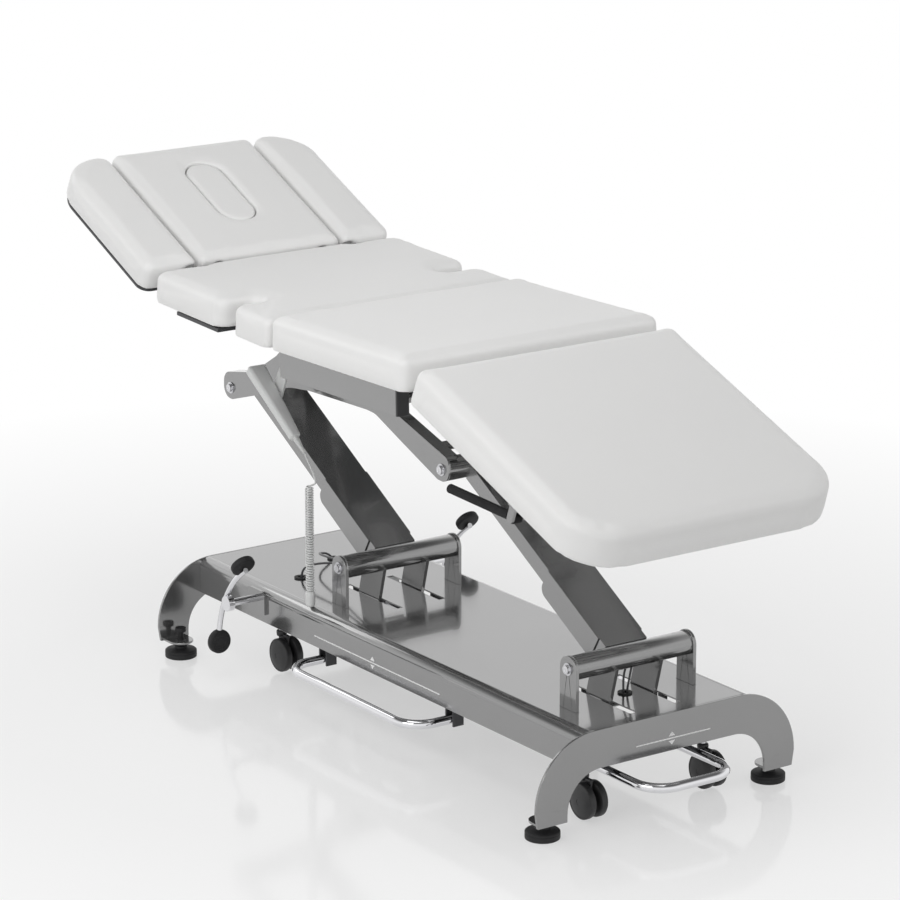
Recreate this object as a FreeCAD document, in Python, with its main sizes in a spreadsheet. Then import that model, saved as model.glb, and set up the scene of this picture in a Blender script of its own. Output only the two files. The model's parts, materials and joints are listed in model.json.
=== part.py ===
import FreeCAD, Part
import math
import os
import Sketcher
from FreeCAD import Placement, Rotation, Vector

# Electric massage table: a parallelogram lift on a folded steel base, four upholstered
# sections, a wired handset, foot bars for the lift and pedals that lower the casters.
# Lengths in millimetres, angles in degrees. +X is the leg end, +Z is up, -Y the near side.
# Places along X are measured from the middle of the base; every node is then moved by
# table_shift, so that the whole table is centred on the origin.

os.makedirs("parts", exist_ok=True)
doc = FreeCAD.newDocument("massage_table")
sheet = doc.addObject("Spreadsheet::Sheet", "sizes")
nodes = []


class Size:
    """A number kept together with the sheet formula that gives it."""

    def __init__(self, number, formula):
        self.number = float(number)
        self.formula = formula

    def __add__(self, other):
        other = as_size(other)
        return Size(self.number + other.number, "(%s + %s)" % (self.formula, other.formula))

    def __sub__(self, other):
        other = as_size(other)
        return Size(self.number - other.number, "(%s - %s)" % (self.formula, other.formula))

    def __mul__(self, other):
        other = as_size(other)
        return Size(self.number * other.number, "(%s * %s)" % (self.formula, other.formula))

    def __truediv__(self, other):
        other = as_size(other)
        return Size(self.number / other.number, "(%s / %s)" % (self.formula, other.formula))

    def __radd__(self, other):
        return as_size(other) + self

    def __rsub__(self, other):
        return as_size(other) - self

    def __rmul__(self, other):
        return as_size(other) * self

    def __neg__(self):
        return as_size(0) - self


def as_size(value):
    if isinstance(value, Size):
        return value
    return Size(value, "%.6g" % value if value >= 0 else "(%.6g)" % value)


def cosine(angle):
    angle = as_size(angle)
    return Size(math.cos(math.radians(angle.number)), "cos(%s * 1 deg)" % angle.formula)


def sine(angle):
    angle = as_size(angle)
    return Size(math.sin(math.radians(angle.number)), "sin(%s * 1 deg)" % angle.formula)


def size(name, value):
    """Adds a driving dimension to the sheet."""
    row = "%d" % (len(size.names) + 1)
    size.names.append(name)
    sheet.set("A" + row, name)
    sheet.set("B" + row, "%r" % float(value))
    sheet.setAlias("B" + row, name)
    return Size(value, "sizes." + name)


size.names = []

# Overall sizes
table_shift = size("table_shift", 138.5)
base_half_length = size("base_half_length", 714)
pad_half_width = size("pad_half_width", 325.5)
running = size("running_clearance", 0.05)
free_gap = size("free_gap", 0.4)

# Base pan and end plates
sheet_thick = size("sheet_thick", 3)
plate_thick = size("end_plate_thick", 6)
pan_half_width = size("pan_half_width", 216)
pan_top = size("pan_top", 210)
pan_rim = size("pan_rim", 130)
pan_bend = size("pan_bend", 24)
plate_half_width = size("plate_half_width", 325)
plate_corner = size("plate_corner", 143)
arch_corner = size("arch_corner", 80)
leg_foot_width = size("leg_foot_width", 72)
tab_top = size("tab_top", 39)
tab_thick = size("tab_thick", 5)
foot_inset = size("foot_inset", 32.4)
foot_y = size("foot_y", 285)
foot_disc_radius = size("foot_disc_radius", 35.5)

# Lift: two parallel arms between the base and the carriage
head_pivot_x = size("head_pivot_x", -240.1)
pivot_spacing = size("pivot_spacing", 821.7)
pivot_height = size("pivot_height", 294)
arm_length = size("arm_length", 575.4)
arm_angle = size("arm_angle", 29.9)
arm_width = size("arm_width", 104)
arm_depth = size("arm_depth", 36)
cross_tube_radius = size("cross_tube_radius", 25)
pin_radius = size("pin_radius", 10)
bracket_y = size("bracket_y", 147.4)
bracket_thick = size("bracket_thick", 8)
bracket_width = size("bracket_width", 54)
lever_width = size("lever_width", 75)
lever_thick = size("lever_thick", 8)
lever_length = size("lever_length", 110)
lever_angle = size("lever_angle", 15)
lever_pin_radius = size("lever_pin_radius", 8)

# Carriage
side_plate_y = size("side_plate_y", 108)
side_plate_thick = size("side_plate_thick", 5)
side_flange = size("side_flange", 30)
rail_y = size("rail_y", 165)
rail_width = size("rail_width", 30)
rail_height = size("rail_height", 60)
rail_drop = size("rail_drop", 114.5)

# Upholstered sections
seat_tilt = size("seat_tilt", 1.26)
seat_setback = size("seat_setback", 498.91)
seat_rise = size("seat_rise", 220.17)
seat_length = size("seat_length", 502)
seat_thick = size("seat_thick", 72)
leg_tilt = size("leg_tilt", 20.7)
leg_hinge_along = size("leg_hinge_along", 505)
leg_hinge_drop = size("leg_hinge_drop", 25.1)
leg_length = size("leg_pad_length", 619.5)
leg_thick = size("leg_pad_thick", 82)
leg_corner = size("leg_pad_corner", 105)
chest_tilt = size("chest_tilt", 1.8)
chest_hinge_depth = size("chest_hinge_depth", 20)
chest_thick = size("chest_thick", 67)
head_tilt = size("head_tilt", 24)
head_axis_along = size("head_axis_along", -485.93)
head_axis_off = size("head_axis_off", -5.25)
head_length = size("head_pad_length", 433)
head_thick = size("head_pad_thick", 65)
head_split = size("head_split", 188)
pad_round = size("pad_round", 18)
seam = size("seam_gap", 3)

# Foot controls and casters
foot_bar_radius = size("foot_bar_radius", 10)
foot_bar_z = size("foot_bar_z", 93)
pedal_inset = size("pedal_inset", 256)
pedal_z = size("pedal_z", 184)
pedal_y = size("pedal_y", 296)
caster_head_inset = size("caster_head_inset", 242)
caster_foot_inset = size("caster_foot_inset", 79)
caster_y = size("caster_y", 151)
wheel_radius = size("wheel_radius", 37.5)
wheel_lift = size("wheel_lift", 4.5)
caster_trail = size("caster_trail", 18)

# Places that follow from those sizes
foot_x = base_half_length - foot_inset
pedal_x = pedal_inset - base_half_length
caster_head_x = caster_head_inset - base_half_length
caster_foot_x = base_half_length - caster_foot_inset
wheel_height = wheel_radius + wheel_lift
foot_pivot_x = head_pivot_x + pivot_spacing
top_z = pivot_height + arm_length * sine(arm_angle)
head_top_x = head_pivot_x - arm_length * cosine(arm_angle)
foot_top_x = foot_pivot_x - arm_length * cosine(arm_angle)
seat_x = head_top_x + seat_setback
seat_z = top_z + seat_rise
chest_axis_n = seat_thick - chest_hinge_depth
chest_pivot_x = seat_x - chest_axis_n * sine(seat_tilt)
chest_pivot_z = seat_z + chest_axis_n * cosine(seat_tilt)
leg_pivot_x = seat_x + leg_hinge_along * cosine(seat_tilt) + leg_hinge_drop * sine(seat_tilt)
leg_pivot_z = seat_z + leg_hinge_along * sine(seat_tilt) - leg_hinge_drop * cosine(seat_tilt)
head_section_x = chest_pivot_x + head_axis_along * cosine(chest_tilt) + head_axis_off * sine(chest_tilt)
head_section_z = chest_pivot_z - head_axis_along * sine(chest_tilt) + head_axis_off * cosine(chest_tilt)
doc.recompute()


# Building blocks

def bind(item, prop, value):
    value = as_size(value)
    item.setExpression(prop, value.formula)


def place(item, x=0, y=0, z=0, turn=None, axis=Vector(0, 1, 0)):
    """Puts an item at a place, turned about an axis."""
    x, y, z = as_size(x), as_size(y), as_size(z)
    spot = Vector(x.number, y.number, z.number)
    if turn is None:
        item.Placement = Placement(spot, item.Placement.Rotation)
    else:
        item.Placement = Placement(spot, Rotation(axis, as_size(turn).number))
        bind(item, "Placement.Rotation.Angle", turn)
    bind(item, "Placement.Base.x", x)
    bind(item, "Placement.Base.y", y)
    bind(item, "Placement.Base.z", z)
    return item


def box(x, y, z):
    """A block from three (low, high) pairs."""
    item = doc.addObject("Part::Box", "block")
    for prop, pair in (("Length", x), ("Width", y), ("Height", z)):
        bind(item, prop, as_size(pair[1]) - as_size(pair[0]))
    return place(item, x[0], y[0], z[0])


TURNS = {"x": Rotation(Vector(0, 1, 0), 90), "y": Rotation(Vector(1, 0, 0), -90), "z": Rotation()}


def rod(axis, radius, span, x=0, y=0, z=0):
    """A cylinder along an axis; the place named like the axis is left out."""
    item = doc.addObject("Part::Cylinder", "round")
    bind(item, "Radius", radius)
    bind(item, "Height", as_size(span[1]) - as_size(span[0]))
    item.Placement.Rotation = TURNS[axis]
    spot = {"x": x, "y": y, "z": z}
    spot[axis] = span[0]
    return place(item, spot["x"], spot["y"], spot["z"])


def stack(axis, steps, x=0, y=0, z=0):
    """A turned piece made of (radius, from, to) steps."""
    return fuse([rod(axis, r, (low, high), x, y, z) for r, low, high in steps])


def fuse(items):
    if len(items) == 1:
        return items[0]
    item = doc.addObject("Part::MultiFuse", "union")
    item.Shapes = items
    item.Refine = True
    return item


def group(items):
    item = doc.addObject("Part::Compound", "set")
    item.Links = items
    return item


def cut(base, tools):
    item = doc.addObject("Part::Cut", "cut")
    item.Base = base
    item.Tool = fuse(tools)
    return item


def node(name, item, x=0, z=0, tilt=None):
    """Names a finished sub-part and moves it into the table's frame."""
    if item.TypeId != "PartDesign::Body" or tilt is not None:
        holder = doc.addObject("Part::Compound", name)
        holder.Links = [item]
        item = holder
    item.Label = name
    place(item, table_shift + x, 0, z, tilt)
    nodes.append(item)
    return item


def start_body(name):
    return doc.addObject("PartDesign::Body", name)


def sketch_on(body, plane, offset=0):
    base = [f for f in body.Origin.OriginFeatures if f.Role == plane][0]
    drawing = body.newObject("Sketcher::SketchObject", "outline")
    drawing.AttachmentSupport = (base, [""])
    drawing.MapMode = "FlatFace"
    if as_size(offset).formula != "0":
        bind(drawing, "AttachmentOffset.Base.z", -as_size(offset) if plane == "XZ_Plane" else offset)
    return drawing


def corner_arc(before, corner, after, radius):
    """The two ends and the centre of the arc that rounds a corner."""
    back = Vector(before[0] - corner[0], before[1] - corner[1], 0).normalize()
    ahead = Vector(after[0] - corner[0], after[1] - corner[1], 0).normalize()
    half = back.getAngle(ahead) / 2
    reach = radius / math.tan(half)
    middle = (back + ahead).normalize() * (radius / math.sin(half))
    spot = Vector(corner[0], corner[1], 0)
    return spot + back * reach, spot + ahead * reach, spot + middle, back.cross(ahead).z


def draw(drawing, corners):
    """Draws a closed outline of (x, y) or (x, y, corner radius) entries, all bound to the sheet."""
    points = [(as_size(c[0]), as_size(c[1])) for c in corners]
    radii = [as_size(c[2]) if len(c) > 2 else None for c in corners]
    count = len(points)
    flat = [(p[0].number, p[1].number) for p in points]
    ends = []
    for i in range(count):
        if radii[i] is None:
            spot = Vector(flat[i][0], flat[i][1], 0)
            ends.append((spot, spot, None, 0))
        else:
            ends.append(corner_arc(flat[i - 1], flat[i], flat[(i + 1) % count], radii[i].number))
    lines = []
    for i in range(count):
        piece = Part.LineSegment(ends[i][1], ends[(i + 1) % count][0])
        lines.append(drawing.addGeometry(piece, False))
    for i in range(count):
        before, after = lines[i - 1], lines[i]
        if radii[i] is None:
            drawing.addConstraint(Sketcher.Constraint("Coincident", before, 2, after, 1))
            target, part = after, 1
        else:
            low, high, centre, side = ends[i]
            first = math.atan2(low.y - centre.y, low.x - centre.x)
            last = math.atan2(high.y - centre.y, high.x - centre.x)
            circle = Part.Circle(centre, Vector(0, 0, 1), radii[i].number)
            if side > 0:
                first, last = last, first
            arc = drawing.addGeometry(Part.ArcOfCircle(circle, first, last), False)
            start, end = (2, 1) if side > 0 else (1, 2)
            drawing.addConstraint(Sketcher.Constraint("Tangent", before, 2, arc, start))
            drawing.addConstraint(Sketcher.Constraint("Tangent", after, 1, arc, end))
            turn = drawing.addConstraint(Sketcher.Constraint("Radius", arc, radii[i].number))
            drawing.setExpression("Constraints[%d]" % turn, radii[i].formula)
            target = drawing.addGeometry(Part.Point(Vector(flat[i][0], flat[i][1], 0)), True)
            part = 1
            drawing.addConstraint(Sketcher.Constraint("PointOnObject", target, 1, before))
            drawing.addConstraint(Sketcher.Constraint("PointOnObject", target, 1, after))
        for kind, value in (("DistanceX", points[i][0]), ("DistanceY", points[i][1])):
            index = drawing.addConstraint(Sketcher.Constraint(kind, -1, 1, target, part, value.number))
            drawing.setExpression("Constraints[%d]" % index, value.formula)


def ring(drawing, x, y, radius):
    """A bound circle in a sketch."""
    x, y, radius = as_size(x), as_size(y), as_size(radius)
    shape = Part.Circle(Vector(x.number, y.number, 0), Vector(0, 0, 1), radius.number)
    index = drawing.addGeometry(shape, False)
    turn = drawing.addConstraint(Sketcher.Constraint("Radius", index, radius.number))
    drawing.setExpression("Constraints[%d]" % turn, radius.formula)
    for kind, value in (("DistanceX", x), ("DistanceY", y)):
        number = drawing.addConstraint(Sketcher.Constraint(kind, -1, 1, index, 3, value.number))
        drawing.setExpression("Constraints[%d]" % number, value.formula)


def pad(body, drawing, length, middle=True):
    feature = body.newObject("PartDesign::Pad", "pad")
    feature.Profile = drawing
    feature.Midplane = middle
    bind(feature, "Length", length)
    drawing.Visibility = False
    return feature


def pocket(body, drawing, depth, middle=False):
    feature = body.newObject("PartDesign::Pocket", "pocket")
    feature.Profile = drawing
    feature.Midplane = middle
    bind(feature, "Length", depth)
    return feature


def plate(plane, corners, thickness, offset=0, rings=()):
    """A flat plate: its outline lies midway in its thickness."""
    body = start_body("plate")
    drawing = sketch_on(body, plane, offset)
    draw(drawing, corners)
    for x, y, radius in rings:
        ring(drawing, x, y, radius)
    pad(body, drawing, thickness)
    return body


def round_top(body, feature, radius, level):
    """Rounds a cushion's upper edges."""
    doc.recompute()
    names = []
    for i, edge in enumerate(feature.Shape.Edges):
        heights = [v.Z for v in edge.Vertexes] + [edge.CenterOfMass.z]
        if min(heights) > level - 0.01:
            names.append("Edge%d" % (i + 1))
    fillet = body.newObject("PartDesign::Fillet", "soft_edge")
    fillet.Base = (feature, names)
    bind(fillet, "Radius", radius)
    return fillet


def bent_tube(points, radius, bend):
    """A round tube along straight runs joined by arcs, in a plane of constant height or side."""
    runs = [Vector(*[as_size(v).number for v in p]) for p in points]
    edges = []
    start = runs[0]
    for i in range(1, len(runs) - 1):
        back = (runs[i - 1] - runs[i]).normalize()
        ahead = (runs[i + 1] - runs[i]).normalize()
        half = back.getAngle(ahead) / 2
        reach = bend / math.tan(half)
        low = runs[i] + back * reach
        high = runs[i] + ahead * reach
        centre = runs[i] + (back + ahead).normalize() * (bend / math.sin(half))
        top = centre + (runs[i] - centre).normalize() * bend
        edges.append(Part.makeLine(start, low))
        edges.append(Part.Arc(low, top, high).toShape())
        start = high
    edges.append(Part.makeLine(start, runs[-1]))
    return swept(edges, radius)


def swept(edges, radius):
    """A round bar along joined edges."""
    wire = Part.Wire(edges)
    heading = edges[0].tangentAt(edges[0].FirstParameter)
    circle = Part.Wire([Part.makeCircle(as_size(radius).number, edges[0].firstVertex().Point, heading)])
    item = doc.addObject("Part::Feature", "bent_tube")
    item.Shape = wire.makePipeShell([circle], True, False)
    return item


# Base pan: folded sheet with slots for the levers and brackets

outer_top = pan_top - sheet_thick
inner_half = pan_half_width - sheet_thick
inner_bend = pan_bend - sheet_thick
pan = start_body("base_pan")
profile = sketch_on(pan, "YZ_Plane")
draw(profile, [(-pan_half_width, pan_rim), (-pan_half_width, pan_top, pan_bend),
               (pan_half_width, pan_top, pan_bend), (pan_half_width, pan_rim),
               (inner_half, pan_rim), (inner_half, outer_top, inner_bend),
               (-inner_half, outer_top, inner_bend), (-inner_half, pan_rim)])
pad(pan, profile, 2 * (base_half_length - plate_thick))
lever_y = arm_width / 2 + lever_thick / 2
slot_behind = size("slot_behind", 112)
slot_ahead = size("slot_ahead", 90)
openings = sketch_on(pan, "XY_Plane", pan_top + 1)
cable_holes = [(as_size(-453), -111), (as_size(-530), 26), (as_size(568), 2)]
for pivot in (head_pivot_x, foot_pivot_x):
    for side in (-1, 1):
        low, high = side * lever_y - lever_thick, side * lever_y + lever_thick
        draw(openings, [(pivot - slot_behind, low), (pivot + slot_ahead, low),
                        (pivot + slot_ahead, high), (pivot - slot_behind, high)])
        reach = bracket_width / 2 + free_gap
        width = bracket_thick / 2 + free_gap
        draw(openings, [(pivot - reach, side * bracket_y - width), (pivot + reach, side * bracket_y - width),
                        (pivot + reach, side * bracket_y + width), (pivot - reach, side * bracket_y + width)])
grommet_radius = size("grommet_radius", 11)
for x, y in cable_holes:
    ring(openings, x, y, grommet_radius)
pocket(pan, openings, sheet_thick + 6)
shaft_radius = size("pedal_shaft_radius", 8)
shaft_holes = sketch_on(pan, "XZ_Plane")
ring(shaft_holes, pedal_x, pedal_z, shaft_radius + 1)
pocket(pan, shaft_holes, 2 * pan_half_width + 10, True)
node("base_pan", pan)

# End plates: arched sheet with a half-round tab at each leg for the levelling foot

plate_leg_in = plate_half_width - 5 - leg_foot_width
arch_top = pan_rim
tab_radius = size("tab_radius", 28)
stud_radius = size("stud_radius", 5)


def end_plate(side):
    body = start_body("end_plate")
    drawing = sketch_on(body, "YZ_Plane", side * (base_half_length - plate_thick / 2))
    bottom = tab_top - tab_thick
    outline = [(plate_half_width - 5, bottom), (plate_half_width, pan_top - plate_corner),
               (plate_half_width, pan_top, plate_corner - 0.5)]
    outline += [(-y, z, *rest) for y, z, *rest in reversed(outline)]
    arch = [(-plate_leg_in, bottom), (-plate_leg_in, arch_top, arch_corner)]
    outline += arch + [(-y, z, *rest) for y, z, *rest in reversed(arch)]
    draw(drawing, outline)
    pad(body, drawing, plate_thick)
    tabs = sketch_on(body, "XY_Plane", bottom)
    edge = side * (base_half_length - plate_thick / 2)
    reach = foot_x - tab_radius
    for hand in (-1, 1):
        centre = hand * foot_y
        draw(tabs, [(edge, centre - tab_radius), (side * reach, centre - tab_radius, tab_radius - 0.2),
                    (side * reach, centre + tab_radius, tab_radius - 0.2), (edge, centre + tab_radius)])
        ring(tabs, side * foot_x, centre, stud_radius + 6 * running)
    pad(body, tabs, tab_thick, False)
    return body


node("end_plates", group([end_plate(side) for side in (-1, 1)]))

# Levelling feet: rubber disc, stud and knob, one at each corner

neck_top = tab_top - tab_thick - 7
knob_radius = size("knob_radius", 12.5)
for name, sx, sy in (("levelling_foot_1", -1, -1), ("levelling_foot_2", 1, -1),
                     ("levelling_foot_3", -1, 1), ("levelling_foot_4", 1, 1)):
    steps = [(foot_disc_radius, 0, 17), (foot_disc_radius - 6, 17, 22), (14, 22, neck_top),
             (stud_radius, neck_top, 68), (knob_radius, tab_top + free_gap, 62)]
    node(name, stack("z", steps, x=sx * foot_x, y=sy * foot_y))

# Pivot brackets on the base with their pins

head_reach = bracket_y + bracket_thick / 2


def bracket(pivot, side):
    half = bracket_width / 2
    outline = [(pivot - half, pan_rim + 8), (pivot - half, pivot_height + half, half - 0.2),
               (pivot + half, pivot_height + half, half - 0.2), (pivot + half, pan_rim + 8)]
    return plate("XZ_Plane", outline, bracket_thick, side * bracket_y,
                 [(pivot, pivot_height, pin_radius + running)])


def pivot_pin(side, inner, face, x, z):
    """A shoulder pin with washer and head, seated on a plate's outer face."""
    ends = [(pin_radius, inner, face + 1), (pin_radius + 3, face, face + 2),
            (pin_radius - 1, face + 2, face + 7)]
    steps = [(r, low, high) if side > 0 else (r, -high, -low) for r, low, high in ends]
    return stack("y", steps, x=x, z=z)


places = [(pivot, side) for pivot in (head_pivot_x, foot_pivot_x) for side in (-1, 1)]
node("pivot_brackets", group([bracket(pivot, side) for pivot, side in places]))
node("base_pivot_pins", group([pivot_pin(side, as_size(105), head_reach, pivot, pivot_height)
                               for pivot, side in places]))

# Control box with the mains inlet, fixed under the pan

control_box = fuse([box((245, 395), (-165, -55), (142, outer_top)), box((395, 421), (-130, -90), (160, 196))])
node("control_box", control_box)

# Cable grommets in the pan

rings = []
for x, y in cable_holes:
    collar = stack("z", [(grommet_radius + 4, pan_top, pan_top + 3),
                         (grommet_radius - running, outer_top, pan_top)], x, y)
    rings.append(cut(collar, [rod("z", 7, (outer_top - 1, pan_top + 4), x, y)]))
node("base_grommets", group(rings))

# Pedal shaft with two curved levers, its flange brackets and the four round pads

bracket_plates = []
for side in (-1, 1):
    outline = [(pedal_x - 40, 150), (pedal_x - 40, 202, 10), (pedal_x + 28, 202, 10), (pedal_x + 28, 150)]
    bracket_plates.append(plate("XZ_Plane", outline, 6, side * (pan_half_width + 3),
                                [(pedal_x, pedal_z, shaft_radius + running)]))
node("pedal_brackets", group(bracket_plates))

lever_rod = size("pedal_rod_radius", 6)
crank_reach = size("crank_reach", 27.5)
shaft = [rod("y", shaft_radius, (-pedal_y, pedal_y), x=pedal_x, z=pedal_z)]
for side in (-1, 1):
    middle = side * pedal_y
    shaft.append(rod("y", 17, (middle - 7, middle + 7), x=pedal_x, z=pedal_z))
    high = Vector(pedal_x.number + 73, middle.number, pedal_z.number + 93)
    bend = Vector(pedal_x.number - 9, middle.number, pedal_z.number + 12)
    low = Vector(pedal_x.number - 39, middle.number, pedal_z.number - 70)
    shaft.append(swept([Part.Arc(high, bend, low).toShape()], lever_rod))
for side in (-1, 1):
    inner = 7 if side > 0 else -15
    cheek = box((pedal_x - crank_reach - 8, pedal_x), (inner, inner + 8), (pedal_z - 7, pedal_z + 7))
    shaft.append(cheek)
shaft.append(rod("y", 5, (-15, 15), x=pedal_x - crank_reach, z=pedal_z))
node("pedal_shaft", fuse(shaft))

pads = []
pad_radius = size("pedal_pad_radius", 27)
for side in (-1, 1):
    upper = rod("z", pad_radius, (0, 15))
    lower = rod("z", pad_radius, (0, 15))
    pads.append(place(upper, pedal_x + 67, side * pedal_y, pedal_z + 97.1, -53.1))
    pads.append(place(lower, pedal_x - 48.5, side * pedal_y, pedal_z - 98, 88))
node("pedal_pads", group(pads))

# Caster frame: crossbars and spine that slide down two guide posts, pushed by the crank

frame_low = size("caster_frame_low", 120)
frame_high = size("caster_frame_high", 140)
guide_radius = size("guide_radius", 8)
guide_places = [as_size(-400), as_size(440)]
stem_radius = size("stem_radius", 6)
beam_half = size("caster_beam_half", 20)
beam_reach = caster_y + 24
crank_x = pedal_x - crank_reach
beams = [box((x - beam_half, x + beam_half), (-beam_reach, beam_reach), (frame_low, frame_high))
         for x in (caster_head_x, caster_foot_x)]
beams += [box((caster_head_x + beam_half, caster_foot_x - beam_half), (-15, 15), (frame_low, frame_high)),
          box((crank_x - 14, crank_x + 14), (-5, 5), (frame_high, pedal_z + 15))]
beams += [rod("z", 2 * guide_radius, (frame_low, frame_high), x=x) for x in guide_places]
holes = [rod("z", guide_radius + running, (frame_low - 1, frame_high + 1), x=x) for x in guide_places]
caster_places = [(x, side * caster_y) for x in (caster_head_x, caster_foot_x) for side in (-1, 1)]
holes += [rod("z", stem_radius + running, (frame_low - 1, frame_high + 1), x, y) for x, y in caster_places]
holes.append(box((crank_x - 9, crank_x + 9), (-6, 6), (pedal_z - 6, pedal_z + 6)))
node("caster_frame", cut(fuse(beams), holes))

# Twin-wheel casters: hood with stem and sleeve, and a pair of wheels on its axle

for number, (x, y) in enumerate(caster_places, 1):
    axle_x = x + caster_trail
    cover = rod("y", wheel_radius + 4, (y - 27, y + 27), x=axle_x, z=wheel_height)
    clear = [box((axle_x - 60, axle_x + 60), (y - 30, y + 30), (-10, wheel_height - 8))]
    for low, high in ((y - 28, y - 4.5), (y + 4.5, y + 28)):
        clear.append(rod("y", wheel_radius + 1.2, (low, high), x=axle_x, z=wheel_height))
    clear.append(rod("y", 4 + running, (y - 10, y + 10), x=axle_x, z=wheel_height))
    stem = stack("z", [(12, wheel_height + 30, frame_low - free_gap),
                       (stem_radius, frame_low - 2, frame_high + 6)], x, y)
    node("caster_hood_%d" % number, cut(fuse([cover, stem]), clear))
    wheels = [rod("y", wheel_radius, (low, high), x=axle_x, z=wheel_height)
              for low, high in ((y - 26, y - 5.5), (y + 5.5, y + 26))]
    wheels.append(rod("y", 4, (y - 6, y + 6), x=axle_x, z=wheel_height))
    node("caster_wheels_%d" % number, fuse(wheels))

# Foot bars along both sides and at the foot end, each rocking on two pinned hangers

side_bar_head = size("side_bar_head", -250)
side_bar_foot = size("side_bar_foot", 225)
side_bar_y = size("side_bar_y", 283)
side_bar_root = size("side_bar_root", 165)
foot_bar_end = base_half_length + size("end_bar_reach", 89)
foot_bar_half = size("foot_bar_half", 104)
foot_bar_root = base_half_length - size("end_bar_inset", 179)
bar_pin = size("bar_pin_radius", 4)
bar_bend = size("bar_bend", 58)


def foot_bar(corners, pins, axis):
    tube = bent_tube(corners, foot_bar_radius, bar_bend.number)
    bores = []
    for x, y in pins:
        middle = x if axis == "x" else y
        bores.append(rod(axis, bar_pin + running, (middle - 12, middle + 12), x, y, foot_bar_z))
    return cut(tube, bores)


def hanger(x, y, axis):
    """Two cheeks under the pan and the pin between them."""
    pieces = []
    for side in (-1, 1):
        near, far = foot_bar_radius + 2 * free_gap, foot_bar_radius + 2 * free_gap + 4
        span = (near, far) if side > 0 else (-far, -near)
        if axis == "x":
            pieces.append(box((x + span[0], x + span[1]), (y - 13, y + 13), (foot_bar_z - 13, outer_top)))
        else:
            pieces.append(box((x - 13, x + 13), (y + span[0], y + span[1]), (foot_bar_z - 13, outer_top)))
    middle = x if axis == "x" else y
    pieces.append(rod(axis, bar_pin, (middle - 14, middle + 14), x, y, foot_bar_z))
    return fuse(pieces)


hangers = []
for name, side in (("near_foot_bar", -1), ("far_foot_bar", 1)):
    outer, inner = side * side_bar_y, side * side_bar_root
    corners = [(side_bar_head, inner, foot_bar_z), (side_bar_head, outer, foot_bar_z),
               (side_bar_foot, outer, foot_bar_z), (side_bar_foot, inner, foot_bar_z)]
    pins = [(side_bar_head, side * (side_bar_root + 10)), (side_bar_foot, side * (side_bar_root + 10))]
    node(name, foot_bar(corners, pins, "x"))
    hangers += [hanger(x, y, "x") for x, y in pins]
corners = [(foot_bar_root, -foot_bar_half, foot_bar_z), (foot_bar_end, -foot_bar_half, foot_bar_z),
           (foot_bar_end, foot_bar_half, foot_bar_z), (foot_bar_root, foot_bar_half, foot_bar_z)]
pins = [(foot_bar_root + 10, -foot_bar_half), (foot_bar_root + 10, foot_bar_half)]
node("end_foot_bar", foot_bar(corners, pins, "y"))
hangers += [hanger(x, y, "y") for x, y in pins]
hangers += [rod("z", guide_radius, (112, outer_top), x=x) for x in guide_places]
node("underframe_hangers", group(hangers))

# Lift drive: actuator on the head lever and a tie bar to the foot lever

lever_x = -(lever_length * sine(lever_angle))
lever_z = pivot_height - lever_length * cosine(lever_angle)
drive_y = size("drive_y", -10)
housing = fuse([rod("x", 17, (-115, 130), y=drive_y, z=lever_z), box((130, 225), (-45, 20), (148, outer_top)),
                box((-100, -70), (-22, 2), (lever_z + 5, outer_top))])
node("actuator_housing", cut(housing, [rod("x", 9 + running, (-120, 100), y=drive_y, z=lever_z)]))
eye_x = head_pivot_x + lever_x
rod_body = [rod("x", 9, (eye_x + 15, 0), y=drive_y, z=lever_z),
            box((eye_x - 18, eye_x + 18), (drive_y - 9, drive_y + 9), (166, 206))]
slot = box((eye_x - lever_pin_radius - 2, eye_x + lever_pin_radius + 2),
           (drive_y - 12, drive_y + 12), (172.5, 203))
node("actuator_rod", cut(fuse(rod_body), [slot]))
tie_y = size("tie_y", 32)
far_eye_x = foot_pivot_x + lever_x
tie = fuse([box((eye_x, far_eye_x), (tie_y - 5, tie_y + 5), (lever_z - 10, lever_z + 10))]
           + [rod("y", 13, (tie_y - 5, tie_y + 5), x=x, z=lever_z) for x in (eye_x, far_eye_x)])
node("tie_bar", cut(tie, [rod("y", lever_pin_radius + running, (tie_y - 9, tie_y + 9), x=x, z=lever_z)
                          for x in (eye_x, far_eye_x)]))

# Lift arms: drawn along their own length, lower side up, then turned into place

lever_s = lever_length * cosine(90 + arm_angle - lever_angle)
lever_n = lever_length * sine(90 + arm_angle - lever_angle)
arm_turn = arm_angle + 180
base_tube_half = bracket_y - bracket_thick / 2 - free_gap
top_tube_half = side_plate_y - side_plate_thick - free_gap


def lift_arm():
    half = lever_width / 2
    long_s, long_n = lever_s * 1.3, lever_n * 1.3
    across_s, across_n = cosine(arm_angle - lever_angle) * half, sine(arm_angle - lever_angle) * half
    pieces = [box((20, arm_length - 20), (-arm_width / 2, arm_width / 2), (-arm_depth / 2, arm_depth / 2)),
              rod("y", cross_tube_radius, (-base_tube_half, base_tube_half)),
              rod("y", cross_tube_radius, (-top_tube_half, top_tube_half), x=arm_length),
              rod("y", lever_pin_radius, (-lever_y, lever_y), x=lever_s, z=lever_n)]
    for side in (-1, 1):
        outline = [(across_s, across_n), (-across_s, -across_n),
                   (long_s - across_s, long_n - across_n, 32), (long_s + across_s, long_n + across_n, 32)]
        pieces.append(plate("XZ_Plane", outline, lever_thick, side * lever_y))
    bores = [rod("y", pin_radius + running, (-base_tube_half - 1, base_tube_half + 1), x=along)
             for along in (0, arm_length)]
    return cut(fuse(pieces), bores)


sleeve_start = size("sleeve_start", 44)
sleeve_end = size("sleeve_end", 240)
sleeve_depth = size("sleeve_depth", 38)


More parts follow.
